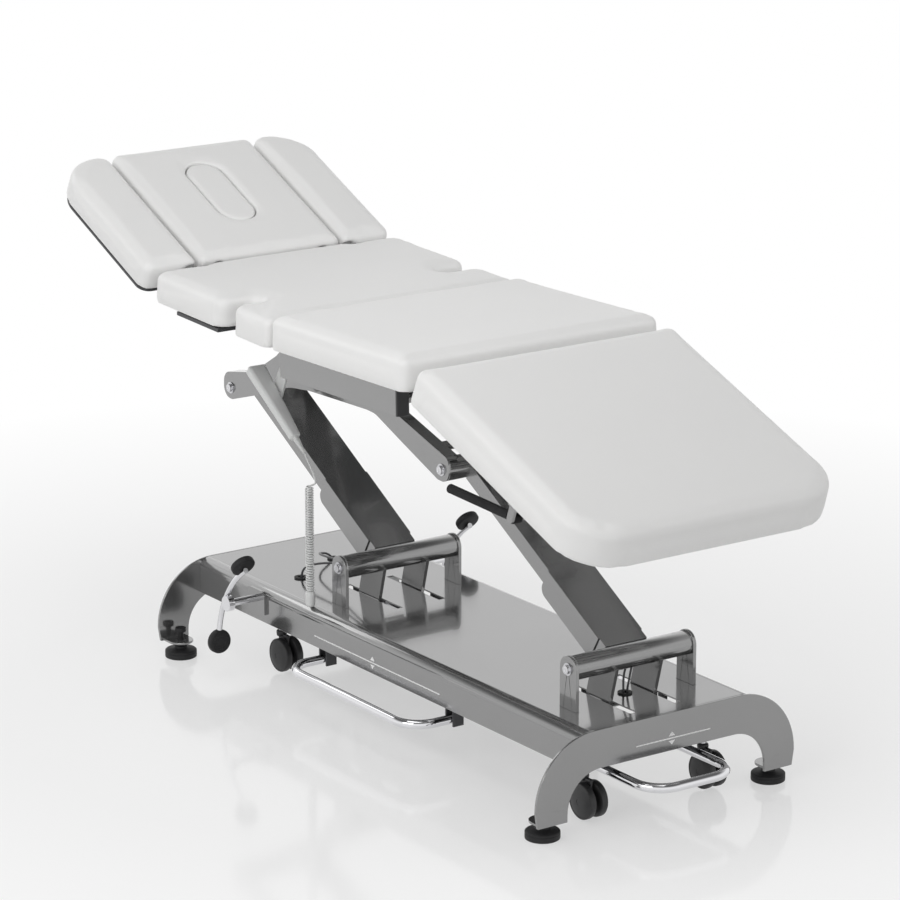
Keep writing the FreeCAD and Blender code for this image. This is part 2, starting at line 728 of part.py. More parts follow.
def arm_sleeve():
    outer = arm_width / 2 + sheet_thick
    body = plate("XZ_Plane", [(sleeve_start, -arm_depth / 2), (sleeve_end, -arm_depth / 2),
                              (sleeve_end, sleeve_depth, 20), (sleeve_start, sleeve_depth)], 2 * outer)
    hollow = box((sleeve_start - 1, sleeve_end + 1), (-arm_width / 2, arm_width / 2),
                 (-arm_depth, sleeve_depth - sheet_thick))
    return cut(body, [hollow])


for name, pivot in (("head_arm", head_pivot_x), ("foot_arm", foot_pivot_x)):
    node(name, lift_arm(), pivot, pivot_height, arm_turn)
    node(name + "_sleeve", arm_sleeve(), pivot, pivot_height, arm_turn)

# Carriage: two bent side plates with an inward top flange, and the tubes between them

tube_places = [(head_top_x + 344, top_z + 125), (foot_top_x - 203, top_z + 131)]
spring_x, spring_z = foot_top_x - 63, top_z + 29
chest_spring_x, chest_spring_z = foot_top_x - 243, top_z + 87
tube_radius = size("carriage_tube_radius", 18)


def side_plate(side):
    hx, fx, z = head_top_x, foot_top_x, top_z
    top_line = [(hx + 94, z + 55, 60), (hx + 190, z + 112, 40), (hx + 235, z + 150, 30),
                (fx - 188, z + 154, 25), (fx - 182, z + 88, 20)]
    end = [(fx + 25, z + 27, 20), (fx + 27, z - 26, 24), (fx - 14, z - 24, 15)]
    bottom = [(fx - 154, z + 30, 60), (fx - 245, z + 66, 60), (fx - 275, z + 68), (fx - 379, z + 65),
              (hx + 322, z + 61, 80), (hx + 240, z + 52, 150), (hx + 113, z + 7, 200),
              (hx + 5, z - 26, 24), (hx - 30, z - 24, 26), (hx - 29, z + 31, 26)]
    body = plate("XZ_Plane", bottom + top_line + end, side_flange, side * (side_plate_y - side_flange / 2))
    inner = sketch_on(body, "XZ_Plane", side * (side_plate_y - side_plate_thick - side_flange / 2))
    drop = [(hx - 60, z + 31 - side_plate_thick)]
    drop += [(x, level - side_plate_thick, *rest) for x, level, *rest in [(hx - 20, z + 33)] + top_line]
    drop += [(fx + 60, z + 17 - side_plate_thick), (fx + 60, z - 60), (hx - 60, z - 60)]
    draw(inner, drop)
    pocket(body, inner, side_flange, True)
    bores = [rod("y", pin_radius + running, (-150, 150), x=x, z=z) for x in (hx, fx)]
    bores += [rod("y", tube_radius + running, (-150, 150), x=x, z=level) for x, level in tube_places]
    bores += [rod("y", 10 + running, (-150, 150), x=x, z=level)
              for x, level in ((spring_x, spring_z), (chest_spring_x, chest_spring_z))]
    return cut(body, bores)


node("side_plate_near", side_plate(-1))
node("side_plate_far", side_plate(1))
rail_in = rail_y - rail_width / 2
head_stub, full_tube = tube_places
tubes = [rod("y", tube_radius, span, x=head_stub[0], z=head_stub[1])
         for span in ((-rail_in, -side_plate_y + side_flange), (side_plate_y - side_flange, rail_in))]
tubes.append(rod("y", tube_radius, (-rail_in, rail_in), x=full_tube[0], z=full_tube[1]))
tubes += [rod("y", 10, (-side_plate_y, side_plate_y), x=x, z=z)
          for x, z in ((spring_x, spring_z), (chest_spring_x, chest_spring_z))]
node("carriage_tubes", group(tubes))
node("top_pivot_pins", group([pivot_pin(side, as_size(60), side_plate_y, x, top_z)
                              for x in (head_top_x, foot_top_x) for side in (-1, 1)]))

# Seat: rails with end caps, upper frame and cushion, all along the seat's own tilt

rail_low, rail_high = -rail_drop, rail_height - rail_drop
frame_top = -free_gap
tube_high = size("frame_tube_height", 30)
hinge_s, hinge_n = leg_hinge_along, leg_hinge_drop
rails = []
caps = []
for side in (-1, 1):
    y = (side * rail_y - rail_width / 2, side * rail_y + rail_width / 2)
    rails.append(box((-184, 259), y, (rail_low, rail_high)))
    caps.append(box((259, 265), y, (rail_low, rail_high)))
node("seat_rails", group(rails), seat_x, seat_z, -seat_tilt)
node("rail_caps", group(caps), seat_x, seat_z, -seat_tilt)

seat_bars = []
for side in (-1, 1):
    y = (side * rail_y - rail_width / 2, side * rail_y + rail_width / 2)
    seat_bars.append(box((15, 487), y, (frame_top - tube_high, frame_top)))
    for low in (40, 225):
        seat_bars.append(box((low, low + 30), y, (rail_high, frame_top - tube_high)))
    ear = (side * 187 - 6, side * 187 + 6)
    seat_bars.append(box((455, hinge_s), ear, (-hinge_n - 11.5, -hinge_n + 11.5)))
    seat_bars.append(rod("y", 11.5, ear, x=hinge_s, z=-hinge_n))
    lug = (side * 156 - 5, side * 156 + 5)
    seat_bars.append(box((-9, 16), lug, (frame_top - tube_high, chest_axis_n)))
    seat_bars.append(rod("y", 9, lug, z=chest_axis_n))
    seat_bars.append(rod("y", 5, (side * 162 - 11, side * 162 + 11), z=chest_axis_n))
for low in (20, 235, 455):
    seat_bars.append(box((low, low + 30), (-240, 240), (frame_top - tube_high, frame_top)))
seat_bars.append(rod("y", 7, (-190, 190), x=hinge_s, z=-hinge_n))
node("seat_frame", fuse(seat_bars), seat_x, seat_z, -seat_tilt)


def cushion(corners, bottom, thickness):
    """A block of upholstery with rounded upper edges."""
    body = start_body("cushion")
    drawing = sketch_on(body, "XY_Plane", bottom)
    draw(drawing, corners)
    block = pad(body, drawing, thickness, False)
    round_top(body, block, pad_round, as_size(bottom).number + as_size(thickness).number)
    return body


pad_edge = pad_half_width
seat_corner = size("seat_corner", 22)
seat_block = cushion([(seam / 2, -pad_edge, seat_corner), (seat_length, -pad_edge, seat_corner),
                      (seat_length, pad_edge, seat_corner), (seam / 2, pad_edge, seat_corner)], 0, seat_thick)
notches = [box((-5, 30), (side * 162 - 14, side * 162 + 14), (-1, chest_axis_n + 12)) for side in (-1, 1)]
node("seat_pad", cut(seat_block, notches), seat_x, seat_z, -seat_tilt)

# Leg section: frame with hinge eyes, cushion, gas spring and grip bar

leg_low = size("leg_pad_low", 12.5)
leg_start = size("leg_pad_start", -3.4)
leg_frame = []
for side in (-1, 1):
    y = (side * rail_y - 14, side * rail_y + 14)
    leg_frame.append(rod("y", 12, y))
    leg_frame.append(box((0, 560), y, (-12, 12)))
for low, high in ((60, 90), (530, 560)):
    leg_frame.append(box((low, high), (-240, 240), (-12, 12)))
leg_frame.append(box((337, 367), (-296, 240), (-12, 12)))
for side in (-1, 1):
    ear = (-280 + side * 13 - 3, -280 + side * 13 + 3)
    leg_frame.append(box((343, 361), ear, (-38, -12)))
    leg_frame.append(rod("y", 9, ear, x=352, z=-38))
leg_frame.append(rod("y", 4, (-296, -264), x=352, z=-38))
spring_s, spring_n = as_size(200), as_size(-30)
leg_frame.append(box((180, 220), (-151, 151), (-12, 12)))
for side in (-1, 1):
    leg_frame.append(box((190, 210), (side * 15 - 4, side * 15 + 4), (spring_n - 9, -12)))
leg_frame.append(rod("y", 5, (-18, 18), x=spring_s, z=spring_n))
bores = [rod("y", 7 + running, (-200, 200))]
node("leg_frame", cut(fuse(leg_frame), bores), leg_pivot_x, leg_pivot_z, leg_tilt)
leg_end = leg_start + leg_length
leg_block = cushion([(leg_start, -pad_edge, 24), (leg_end, -pad_edge, leg_corner),
                     (leg_end, pad_edge, leg_corner), (leg_start, pad_edge, 24)], leg_low, leg_thick)
node("leg_pad", leg_block, leg_pivot_x, leg_pivot_z, leg_tilt)

rod_x = leg_pivot_x + spring_s * cosine(leg_tilt) + spring_n * sine(leg_tilt)
rod_z = leg_pivot_z - spring_s * sine(leg_tilt) + spring_n * cosine(leg_tilt)
spring_radius = size("spring_radius", 11)
spring_eye = size("spring_eye", 17)
spring_slack = size("spring_slack", 6.5)


def gas_spring(name, x, z, end_x, end_z):
    """Cylinder and rod between two pins; the rod's eye is wide, as its loop is open there."""
    turn = math.degrees(math.atan2(z.number - end_z.number, end_x.number - x.number))
    span = math.hypot(end_x.number - x.number, end_z.number - z.number)
    cylinder = fuse([rod("x", spring_radius, (14, 250)), rod("y", spring_eye, (-9, 9))])
    bores = [rod("y", 10 + running, (-12, 12)), rod("x", 5 + running, (120, 260))]
    node(name + "_cylinder", cut(cylinder, bores), x, z, turn)
    inner = fuse([rod("x", 5, (170, span - 14)), rod("y", spring_eye, (-9, 9), x=span)])
    node(name + "_rod", cut(inner, [rod("y", 5 + spring_slack, (-12, 12), x=span)]), x, z, turn)


gas_spring("leg_spring", spring_x, spring_z, rod_x, rod_z)

# Release bar of the leg section: foam grip on a lever that hangs from the leg frame

grip_s = size("grip_along", 352)
grip_n = size("grip_drop", -38)
grip_y = size("grip_y", -280)
grip_x = leg_pivot_x + grip_s * cosine(leg_tilt) + grip_n * sine(leg_tilt)
grip_z = leg_pivot_z - grip_s * sine(leg_tilt) + grip_n * cosine(leg_tilt)
grip = [rod("x", 9.5, (-221, -20), y=grip_y), rod("x", 6, (-22, 0), y=grip_y),
        rod("y", 10, (grip_y - 9, grip_y + 9))]
bar = cut(fuse(grip), [rod("y", 4 + running, (grip_y - 12, grip_y + 12))])
node("leg_release_bar", bar, grip_x, grip_z, 2)

# Chest section: frame with lugs for both neighbours, cushion with waist slots

chest_top = size("chest_top", 13)
chest_low = chest_top - chest_thick
chest_foot = -seam / 2
tongue_end = size("tongue_end", -478.5)
shoulder_end = size("shoulder_end", -472)
slit_x = size("slit_x", -170)
slit_half = size("slit_half", 19)
slit_in = size("slit_in", 232)
half_outline = [(chest_foot, pad_edge, seat_corner), (slit_x + slit_half, pad_edge, 34),
                (slit_x + slit_half, slit_in, slit_half - 1), (slit_x - slit_half, slit_in, slit_half - 1),
                (slit_x - slit_half, pad_edge, 34), (shoulder_end, pad_edge, 32),
                (shoulder_end, head_split + 11), (tongue_end, head_split + 4)]
outline = [(x, -y, *rest) for x, y, *rest in reversed(half_outline)] + half_outline
chest_block = cushion(outline, chest_low, chest_thick)
notches = [box((-32, 5), (side * 162 - 14, side * 162 + 14), (chest_low - 1, 11)) for side in (-1, 1)]
hinge_y = head_split - 51
notches += [box((head_axis_along - 5, head_axis_along + 20), (side * hinge_y - 12, side * hinge_y + 12),
                (chest_low - 1, head_axis_off + 11)) for side in (-1, 1)]
node("chest_pad", cut(chest_block, notches), chest_pivot_x, chest_pivot_z, chest_tilt)

chest_high = chest_low - free_gap
crossbar = head_split + 37
chest_bars = []
for side in (-1, 1):
    y = (side * rail_y - rail_width / 2, side * rail_y + rail_width / 2)
    chest_bars.append(box((-450, -36), y, (chest_high - tube_high, chest_high)))
    lug = (side * 167.4 - 5, side * 167.4 + 5)
    chest_bars.append(box((-40, 9), lug, (chest_high - tube_high, chest_high - 6)))
    chest_bars.append(box((-9, 9), lug, (chest_high - tube_high, 0)))
    chest_bars.append(rod("y", 9, lug))
    for middle in (head_split - 55, head_split + 28):
        lug = (side * middle - 4, side * middle + 4)
        chest_bars.append(box((head_axis_along - 9, -440), lug, (chest_high - tube_high, chest_high)))
        chest_bars.append(box((head_axis_along - 9, head_axis_along + 9), lug,
                              (chest_high - tube_high, head_axis_off)))
        chest_bars.append(rod("y", 9, lug, x=head_axis_along, z=head_axis_off))
    axle = (side * (head_split - 14) - 46, side * (head_split - 14) + 46)
    chest_bars.append(rod("y", 6, axle, x=head_axis_along, z=head_axis_off))
for low, high in ((-450, -420), (-345, -315), (-90, -60)):
    chest_bars.append(box((low, high), (-crossbar, crossbar), (chest_high - tube_high, chest_high)))
chest_eye_s, chest_eye_n = as_size(-330), as_size(-103)
for side in (-1, 1):
    cheek = (side * 15 - 4, side * 15 + 4)
    chest_bars.append(box((-340, -320), cheek, (chest_eye_n - 8, chest_high - tube_high)))
chest_bars.append(rod("y", 5, (-18, 18), x=chest_eye_s, z=chest_eye_n))
bores = [rod("y", 5 + running, (-180, 180))]
board_thick = size("board_thick", 8)
board_in, board_out = crossbar + free_gap - 0.1, pad_edge - 4
shoulder_boards = [box((-367, -199), span, (chest_high - board_thick, chest_high))
                   for span in ((-board_out, -board_in), (board_in, board_out))]
node("chest_frame", group([cut(fuse(chest_bars), bores)] + shoulder_boards), chest_pivot_x, chest_pivot_z,
     chest_tilt)
eye_x = chest_pivot_x + chest_eye_s * cosine(chest_tilt) + chest_eye_n * sine(chest_tilt)
eye_z = chest_pivot_z - chest_eye_s * sine(chest_tilt) + chest_eye_n * cosine(chest_tilt)
gas_spring("chest_spring", chest_spring_x, chest_spring_z, eye_x, eye_z)

# Head section: centre cushion with face hole and plug, and two arm cushions

head_high = size("head_pad_high", 20.9)
head_low = head_high - head_thick
head_start = size("head_pad_start", -7.1)
head_far = head_start - head_length
inner = head_split - seam / 2
hole_s = size("face_hole_s", -246)
hole_long = size("face_hole_length", 228)
hole_wide = size("face_hole_width", 92)


def oval(grow):
    half = hole_long / 2 + grow
    side = hole_wide / 2 + grow
    return [(hole_s - half, -side, side - 0.3), (hole_s + half, -side, side - 0.3),
            (hole_s + half, side, side - 0.3), (hole_s - half, side, side - 0.3)]


head_block = cushion([(head_far, -inner, 24), (head_start, -inner, 16), (head_start, inner, 16),
                      (head_far, inner, 24)], head_low, head_thick)
hole = plate("XY_Plane", oval(as_size(1)), 3 * head_thick)
notches = [box((-34, 5), (side * hinge_y - 12, side * hinge_y + 12), (head_low - 1, 11)) for side in (-1, 1)]
node("head_pad", cut(head_block, [hole] + notches), head_section_x, head_section_z, head_tilt)
plug = plate("XY_Plane", oval(as_size(0)), 52, head_high - 28)
node("face_plug", plug, head_section_x, head_section_z, head_tilt)

under = head_low - free_gap
head_bars = []
for side in (-1, 1):
    y = (side * (head_split - 40) - 10, side * (head_split - 40) + 10)
    lug = (side * (head_split - 46) - 4, side * (head_split - 46) + 4)
    head_bars.append(box((-400, -30), y, (under - 20, under)))
    head_bars.append(box((-31, 9), lug, (under - 20, under - 4)))
    head_bars.append(box((-9, 9), lug, (under - 20, 0)))
    head_bars.append(rod("y", 9, lug))
for low, high in ((-400, -375), (-100, -75)):
    head_bars.append(box((low, high), (18 - head_split, head_split - 18), (under - 20, under)))
head_bars = cut(fuse(head_bars), [rod("y", 6 + running, (-200, 200))])
node("head_frame", head_bars, head_section_x, head_section_z, head_tilt)


def arm_board(side):
    """The dark board under an arm cushion, following its outline a little inside the edge."""
    low, high = side * (head_split + 3), side * (pad_edge - 4)
    step = side * (head_split + 34)
    outline = [(head_far + 6, low, 30), (-45, low, 8), (-45, step), (-14, step), (-14, high, 26),
               (head_far + 6, high, 94)]
    return plate("XY_Plane", outline, 6, under - 3)


for name, side in (("arm_pad_near", -1), ("arm_pad_far", 1)):
    low, high = side * (head_split + seam / 2), side * pad_edge
    block = cushion([(head_far, low, 32), (head_start, low, 16), (head_start, high, 28),
                     (head_far, high, 98)], head_low, head_thick)
    middle = side * (head_split + 22)
    notch = box((-34, 5), (middle - 14, middle + 14), (head_low - 1, 11))
    lug = (side * (head_split + 16) - 4, side * (head_split + 16) + 4)
    strap = fuse([box((-60, -3), lug, (under - 6, under)), box((-9, -3), lug, (under - 6, 0)),
                  rod("y", 9, lug), arm_board(side)])
    strap = cut(strap, [rod("y", 6 + running, (lug[0] - 4, lug[1] + 4))])
    node(name, group([cut(block, [notch]), strap]), head_section_x, head_section_z, head_tilt)

# Handset on its hook, with its rocker key and the curly cord down to the base

set_x = seat_x - size("handset_ahead", 282)
set_z = seat_z - size("handset_below", 118)
set_turn = size("handset_turn", 37.4)
set_length = size("handset_length", 203)
set_depth = size("handset_depth", 24)
set_width = size("handset_width", 46)
handset_foot_width = size("handset_foot_width", 24)
set_y = size("handset_y", -180)
rocker_s = size("rocker_along", 52)
half_depth = set_depth / 2
wide, narrow = set_width / 2, handset_foot_width / 2
handset = plate("XY_Plane", [(0, set_y - wide, 9), (set_length, set_y - narrow, 9),
                             (set_length, set_y + narrow, 9), (0, set_y + wide, 9)], set_depth)
back = set_y + wide
well = box((rocker_s - 19, rocker_s + 19), (set_y - 8, set_y + 8), (-half_depth - 1, -half_depth + 5))
handset = cut(handset, [well, rod("y", 4.4, (back - 15, back + 1), x=80)])
node("handset_body", handset, set_x, set_z, set_turn)
key_wide = (set_y - 7.4, set_y + 7.4)
key = fuse([box((rocker_s - 18.4, rocker_s + 18.4), key_wide, (-half_depth - 2, -half_depth + 2.6)),
            rod("y", 2.4, key_wide, x=rocker_s, z=-half_depth + 2.5)])
node("handset_rocker", key, set_x, set_z, set_turn)

hook_x = set_x + 80 * cosine(set_turn)
hook_z = set_z - 80 * sine(set_turn)
rail_end_x = seat_x - 184 * cosine(seat_tilt) + 54.5 * sine(seat_tilt) - free_gap
hook_strap = plate("XZ_Plane", [(hook_x - 26, hook_z + 10, 6), (hook_x + 2, hook_z - 14, 6),
                                (hook_x + 30, hook_z + 52), (rail_end_x, hook_z + 66),
                                (rail_end_x, hook_z + 100), (rail_end_x - 14, hook_z + 100, 5)],
                   4, back + free_gap + 2)
hook = fuse([hook_strap, rod("y", 4, (back - 12, back + 3), x=hook_x, z=hook_z),
             box((rail_end_x - 4, rail_end_x), (-176, back + 4), (hook_z + 70, hook_z + 96))])
node("handset_hook", hook)

cord_radius = size("cord_radius", 2.2)
coil_radius = size("coil_radius", 10)
coil_place = Vector(-271, -205, 0)
coil_top = 483
relief_end = set_length + 43
cord_start = Vector((set_x + relief_end * cosine(set_turn)).number, set_y.number,
                    (set_z - relief_end * sine(set_turn)).number)
cord_route = [cord_start, Vector(-298, -185, 514), Vector(-276, -189, 499),
              Vector(-266, -191.5, coil_top + 1.8)]


def tube_along(points, radius):
    """A cord's tube: straight runs joined by arcs as large as the runs allow."""
    edges = []
    start = points[0]
    for i in range(1, len(points) - 1):
        back_way = points[i - 1] - points[i]
        next_way = points[i + 1] - points[i]
        run = min(back_way.Length, next_way.Length)
        back_way.normalize()
        next_way.normalize()
        half_angle = back_way.getAngle(next_way) / 2
        bend = 0.45 * run * math.tan(half_angle)
        print("cord radius", round(bend, 1))
        low = points[i] + back_way * (0.45 * run)
        high = points[i] + next_way * (0.45 * run)
        centre = points[i] + (back_way + next_way).normalize() * (bend / math.sin(half_angle))
        top = centre + (points[i] - centre).normalize() * bend
        edges += [Part.makeLine(start, low), Part.Arc(low, top, high).toShape()]
        start = high
    edges.append(Part.makeLine(start, points[-1]))
    return swept(edges, radius)


relief = stack("x", [(5.5, set_length, set_length + 8), (4, set_length + 8, relief_end)], y=set_y)
relief = place(group([relief]), set_x, 0, set_z, set_turn)
node("handset_lead", group([relief, tube_along(cord_route, cord_radius)]))
coil = rod("z", coil_radius, (pan_top + 14, coil_top), x=coil_place.x, y=coil_place.y)
gland = rod("z", 5, (pan_top - 1, pan_top + 14), x=coil_place.x, y=coil_place.y)
node("handset_cord", group([coil, gland]))

doc.recompute()

# Checks and files

for item in doc.Objects:
    if "Invalid" in item.State or "Error" in item.State:
        raise RuntimeError("not built: %s %s" % (item.Name, item.Label))
for item in nodes:
    shape = item.Shape
    if shape.isNull() or not shape.isValid() or not shape.Solids:
        raise RuntimeError("bad shape: " + item.Label)
    shape.exportStep("parts/%s.step" % item.Label)
whole = FreeCAD.BoundBox()
for item in nodes:
    whole.add(item.Shape.BoundBox)
print(len(nodes), "nodes, box %.1f x %.1f x %.1f mm" % (whole.XLength, whole.YLength, whole.ZLength))
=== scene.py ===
# %% [markdown]
# The piece is an electric massage table: a steel base with a pressed pan and
# two arched end plates, a parallelogram lift of two box arms, a carriage with
# rails, and four upholstered sections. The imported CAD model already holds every
# hard piece at its true place, so this lesson loads it and works on the looks.

# %% Load the model
import json
import math

import bpy
from mathutils import Matrix, Vector


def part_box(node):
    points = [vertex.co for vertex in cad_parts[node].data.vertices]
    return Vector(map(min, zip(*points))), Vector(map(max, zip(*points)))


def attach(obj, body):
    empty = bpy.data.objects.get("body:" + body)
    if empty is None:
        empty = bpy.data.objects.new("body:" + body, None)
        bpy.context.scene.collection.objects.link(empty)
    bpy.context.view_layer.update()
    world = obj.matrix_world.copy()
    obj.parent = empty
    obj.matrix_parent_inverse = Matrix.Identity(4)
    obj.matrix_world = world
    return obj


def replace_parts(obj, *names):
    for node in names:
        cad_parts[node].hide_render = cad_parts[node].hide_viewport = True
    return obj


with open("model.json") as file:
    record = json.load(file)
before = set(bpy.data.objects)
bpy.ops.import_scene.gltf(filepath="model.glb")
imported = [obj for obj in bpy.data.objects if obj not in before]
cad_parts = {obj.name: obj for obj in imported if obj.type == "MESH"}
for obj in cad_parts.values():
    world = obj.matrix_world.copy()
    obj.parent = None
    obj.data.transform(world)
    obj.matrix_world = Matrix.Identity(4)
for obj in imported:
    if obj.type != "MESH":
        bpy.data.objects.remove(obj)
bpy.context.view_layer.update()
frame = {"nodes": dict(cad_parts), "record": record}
scene = bpy.context.scene
scene.view_settings.view_transform = "Standard"

# %% [markdown]
# Sizes are noted as on a workshop drawing: millimetres, with x counted from the
# middle of the base. The model's own frame is in metres and its origin lies a
# little nearer the head end, so one small helper turns a drawing point into a
# model point, and another does it for the tilted line of a cushion or an arm.

# %% From the drawing to the model
TABLE_SHIFT = 138.5


def point(x, y, z):
    """A drawing point in mm as a model point in metres."""
    return Vector(((x + TABLE_SHIFT) / 1000, y / 1000, z / 1000))


def on_line(place, along, y, off):
    """A point on a tilted part: along it, across it and square off it."""
    x, z, tilt = place
    turn = math.radians(tilt)
    return point(
        x + along * math.cos(turn) + off * math.sin(turn),
        y,
        z - along * math.sin(turn) + off * math.cos(turn),
    )


# %% [markdown]
# Operators act on whatever is selected, and the loaded model comes in selected.
# These small helpers leave just one object selected, and bring a finished piece
# home: its place goes into the mesh, it gets its finish, and it is tied to the
# body that it moves with.

# %% Selecting and settling a piece
def clear_selection():
    if bpy.context.mode != "OBJECT":
        bpy.ops.object.mode_set(mode="OBJECT")
    bpy.ops.object.select_all(action="DESELECT")


def only(piece):
    clear_selection()
    piece.select_set(True)
    bpy.context.view_layer.objects.active = piece


def pick_faces(piece, wanted):
    """Selects in edit mode the faces whose centre and normal pass the test."""
    only(piece)
    bpy.ops.object.mode_set(mode="EDIT")
    bpy.ops.mesh.select_mode(type="FACE")
    bpy.ops.mesh.select_all(action="DESELECT")
    bpy.ops.object.mode_set(mode="OBJECT")
    for face in piece.data.polygons:
        face.select = wanted(face.center, face.normal)
    bpy.ops.object.mode_set(mode="EDIT")


def leave_edit():
    bpy.ops.object.mode_set(mode="OBJECT")


def apply_modifier(piece, kind, **values):
    """Adds a modifier, sets its values and applies it."""
    only(piece)
    modifier = piece.modifiers.new(kind.lower(), kind)
    for name, value in values.items():
        setattr(modifier, name, value)
    bpy.ops.object.modifier_apply(modifier=modifier.name)


def settle(piece, name, body, finish):
    only(piece)
    if piece.type != "MESH":
        bpy.ops.object.convert(target="MESH")
        piece = bpy.context.object
    bpy.ops.object.transform_apply(location=True, rotation=True, scale=True)
    piece.name = name
    piece.data.materials.clear()
    piece.data.materials.append(finish)
    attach(piece, body)
    return piece


def join(pieces):
    only(pieces[0])
    for piece in pieces:
        piece.select_set(True)
    bpy.ops.object.join()
    return bpy.context.object


# %% [markdown]
# The camera stands at the leg end on the near side, about seven metres away with
# a long lens, so the two sides of the base stay nearly parallel. It was found
# by matching the base, the pivots and the cushion edges to the picture.

# %% Camera
bpy.ops.object.camera_add(location=(6.52761, -4.502317, 2.759142))
camera = bpy.context.object
camera.name = "studio_camera"
camera.data.sensor_width = 36
camera.data.lens = 154.81
turn_side, turn_down = math.radians(55.0), math.radians(15.53)
looking = Vector((
    -math.sin(turn_side) * math.cos(turn_down),
    math.cos(turn_side) * math.cos(turn_down),
    -math.sin(turn_down),
))
camera.rotation_euler = looking.to_track_quat("-Z", "Y").to_euler()
camera.data.clip_end = 60
scene.camera = camera

# %% [markdown]
# A white studio: a pale glossy floor that mirrors the base softly, a world that
# is bright at the horizon and darker overhead, and three large soft lamps. For
# the camera and for mirrors the floor turns to pure white away from the table,
# through the Light Path node, so the lamps can stay at a plain level.

# %% Floor, world and lamps
bpy.ops.mesh.primitive_plane_add(size=40, location=(0, 0, 0))
floor = bpy.context.object
floor.name = "studio_floor"

floor_paint = bpy.data.materials.new("pale_floor")
floor_paint.use_nodes = True
nodes, links = floor_paint.node_tree.nodes, floor_paint.node_tree.links
surface = nodes["Principled BSDF"]
surface.inputs["Base Color"].default_value = (0.88, 0.88, 0.88, 1)
surface.inputs["Roughness"].default_value = 0.09
surface.inputs["IOR"].default_value = 1.75
glow = nodes.new("ShaderNodeEmission")
glow.inputs["Strength"].default_value = 1
adding = nodes.new("ShaderNodeMixShader")
seen = nodes.new("ShaderNodeLightPath")
floor_place = nodes.new("ShaderNodeTexCoord")
away = nodes.new("ShaderNodeVectorMath")
away.operation = "LENGTH"
fade = nodes.new("ShaderNodeMapRange")
fade.inputs["From Min"].default_value = 0.9
fade.inputs["From Max"].default_value = 2.6
fade.inputs["To Min"].default_value = 0.5
fade.inputs["To Max"].default_value = 1.0
share = nodes.new("ShaderNodeMath")
share.operation = "MULTIPLY"
links.new(floor_place.outputs["Object"], away.inputs[0])
links.new(away.outputs["Value"], fade.inputs["Value"])
links.new(fade.outputs["Result"], share.inputs[1])
mirrored = nodes.new("ShaderNodeMath")
through = nodes.new("ShaderNodeMath")
mirrored.operation = through.operation = "MAXIMUM"
links.new(seen.outputs["Is Camera Ray"], mirrored.inputs[0])
links.new(seen.outputs["Is Glossy Ray"], mirrored.inputs[1])
links.new(mirrored.outputs[0], through.inputs[0])
links.new(seen.outputs["Is Transmission Ray"], through.inputs[1])
links.new(through.outputs[0], share.inputs[0])
links.new(share.outputs[0], adding.inputs["Fac"])
links.new(surface.outputs[0], adding.inputs[1])
links.new(glow.outputs[0], adding.inputs[2])
links.new(adding.outputs[0], nodes["Material Output"].inputs["Surface"])
floor.data.materials.append(floor_paint)

world = bpy.data.worlds.new("studio_world")
scene.world = world
world.use_nodes = True
nodes, links = world.node_tree.nodes, world.node_tree.links
fill = nodes["Background"]
fill.inputs["Strength"].default_value = 1
sky_place = nodes.new("ShaderNodeTexCoord")
sky_axes = nodes.new("ShaderNodeSeparateXYZ")
sky_tones = nodes.new("ShaderNodeValToRGB")
sky_tones.color_ramp.elements[0].position = 0.0
sky_tones.color_ramp.elements[0].color = (1, 1, 1, 1)
sky_tones.color_ramp.elements[1].position = 0.95
sky_tones.color_ramp.elements[1].color = (0.14, 0.14, 0.14, 1)
middle_tone = sky_tones.color_ramp.elements.new(0.4)
middle_tone.color = (1, 1, 1, 1)
upper_tone = sky_tones.color_ramp.elements.new(0.72)
upper_tone.color = (0.14, 0.14, 0.14, 1)
links.new(sky_place.outputs["Generated"], sky_axes.inputs[0])
links.new(sky_axes.outputs["Z"], sky_tones.inputs["Fac"])
links.new(sky_tones.outputs["Color"], fill.inputs["Color"])


def soft_lamp(name, place, aim, width, height, power):
    bpy.ops.object.light_add(type="AREA", location=place)
    lamp = bpy.context.object
    lamp.name = name
    lamp.data.shape = "RECTANGLE"
    lamp.data.size, lamp.data.size_y = width, height
    lamp.data.energy = power
    lamp.rotation_euler = (Vector(aim) - Vector(place)).to_track_quat("-Z", "Y").to_euler()


soft_lamp("lamp_above", (0.6, -0.6, 3.8), (0, 0, 0.6), 2.8, 2.2, 36)
soft_lamp("lamp_near", (1.2, -3.4, 2.2), (0, 0, 0.5), 2.4, 1.2, 28)
soft_lamp("lamp_head", (-3.6, -0.8, 2.4), (0, 0, 0.6), 1.6, 1.8, 12)

# %% [markdown]
# Real finishes are never one flat colour. Two small shader groups serve all the
# materials: "surface_play" drifts a colour and its roughness by a few percent in
# soft patches, as paint and moulded plastic do, and "fine_relief" gives a height
# for the Bump node, from broad orange peel to the pebbled grain of upholstery.

# %% Shared shader groups
def new_group(name, inputs, outputs):
    group = bpy.data.node_groups.new(name, "ShaderNodeTree")
    for label, kind, value in inputs:
        socket = group.interface.new_socket(label, in_out="INPUT", socket_type=kind)
        if value is not None:
            socket.default_value = value
    for label, kind in outputs:
        group.interface.new_socket(label, in_out="OUTPUT", socket_type=kind)
    return group, group.nodes.new("NodeGroupInput"), group.nodes.new("NodeGroupOutput")


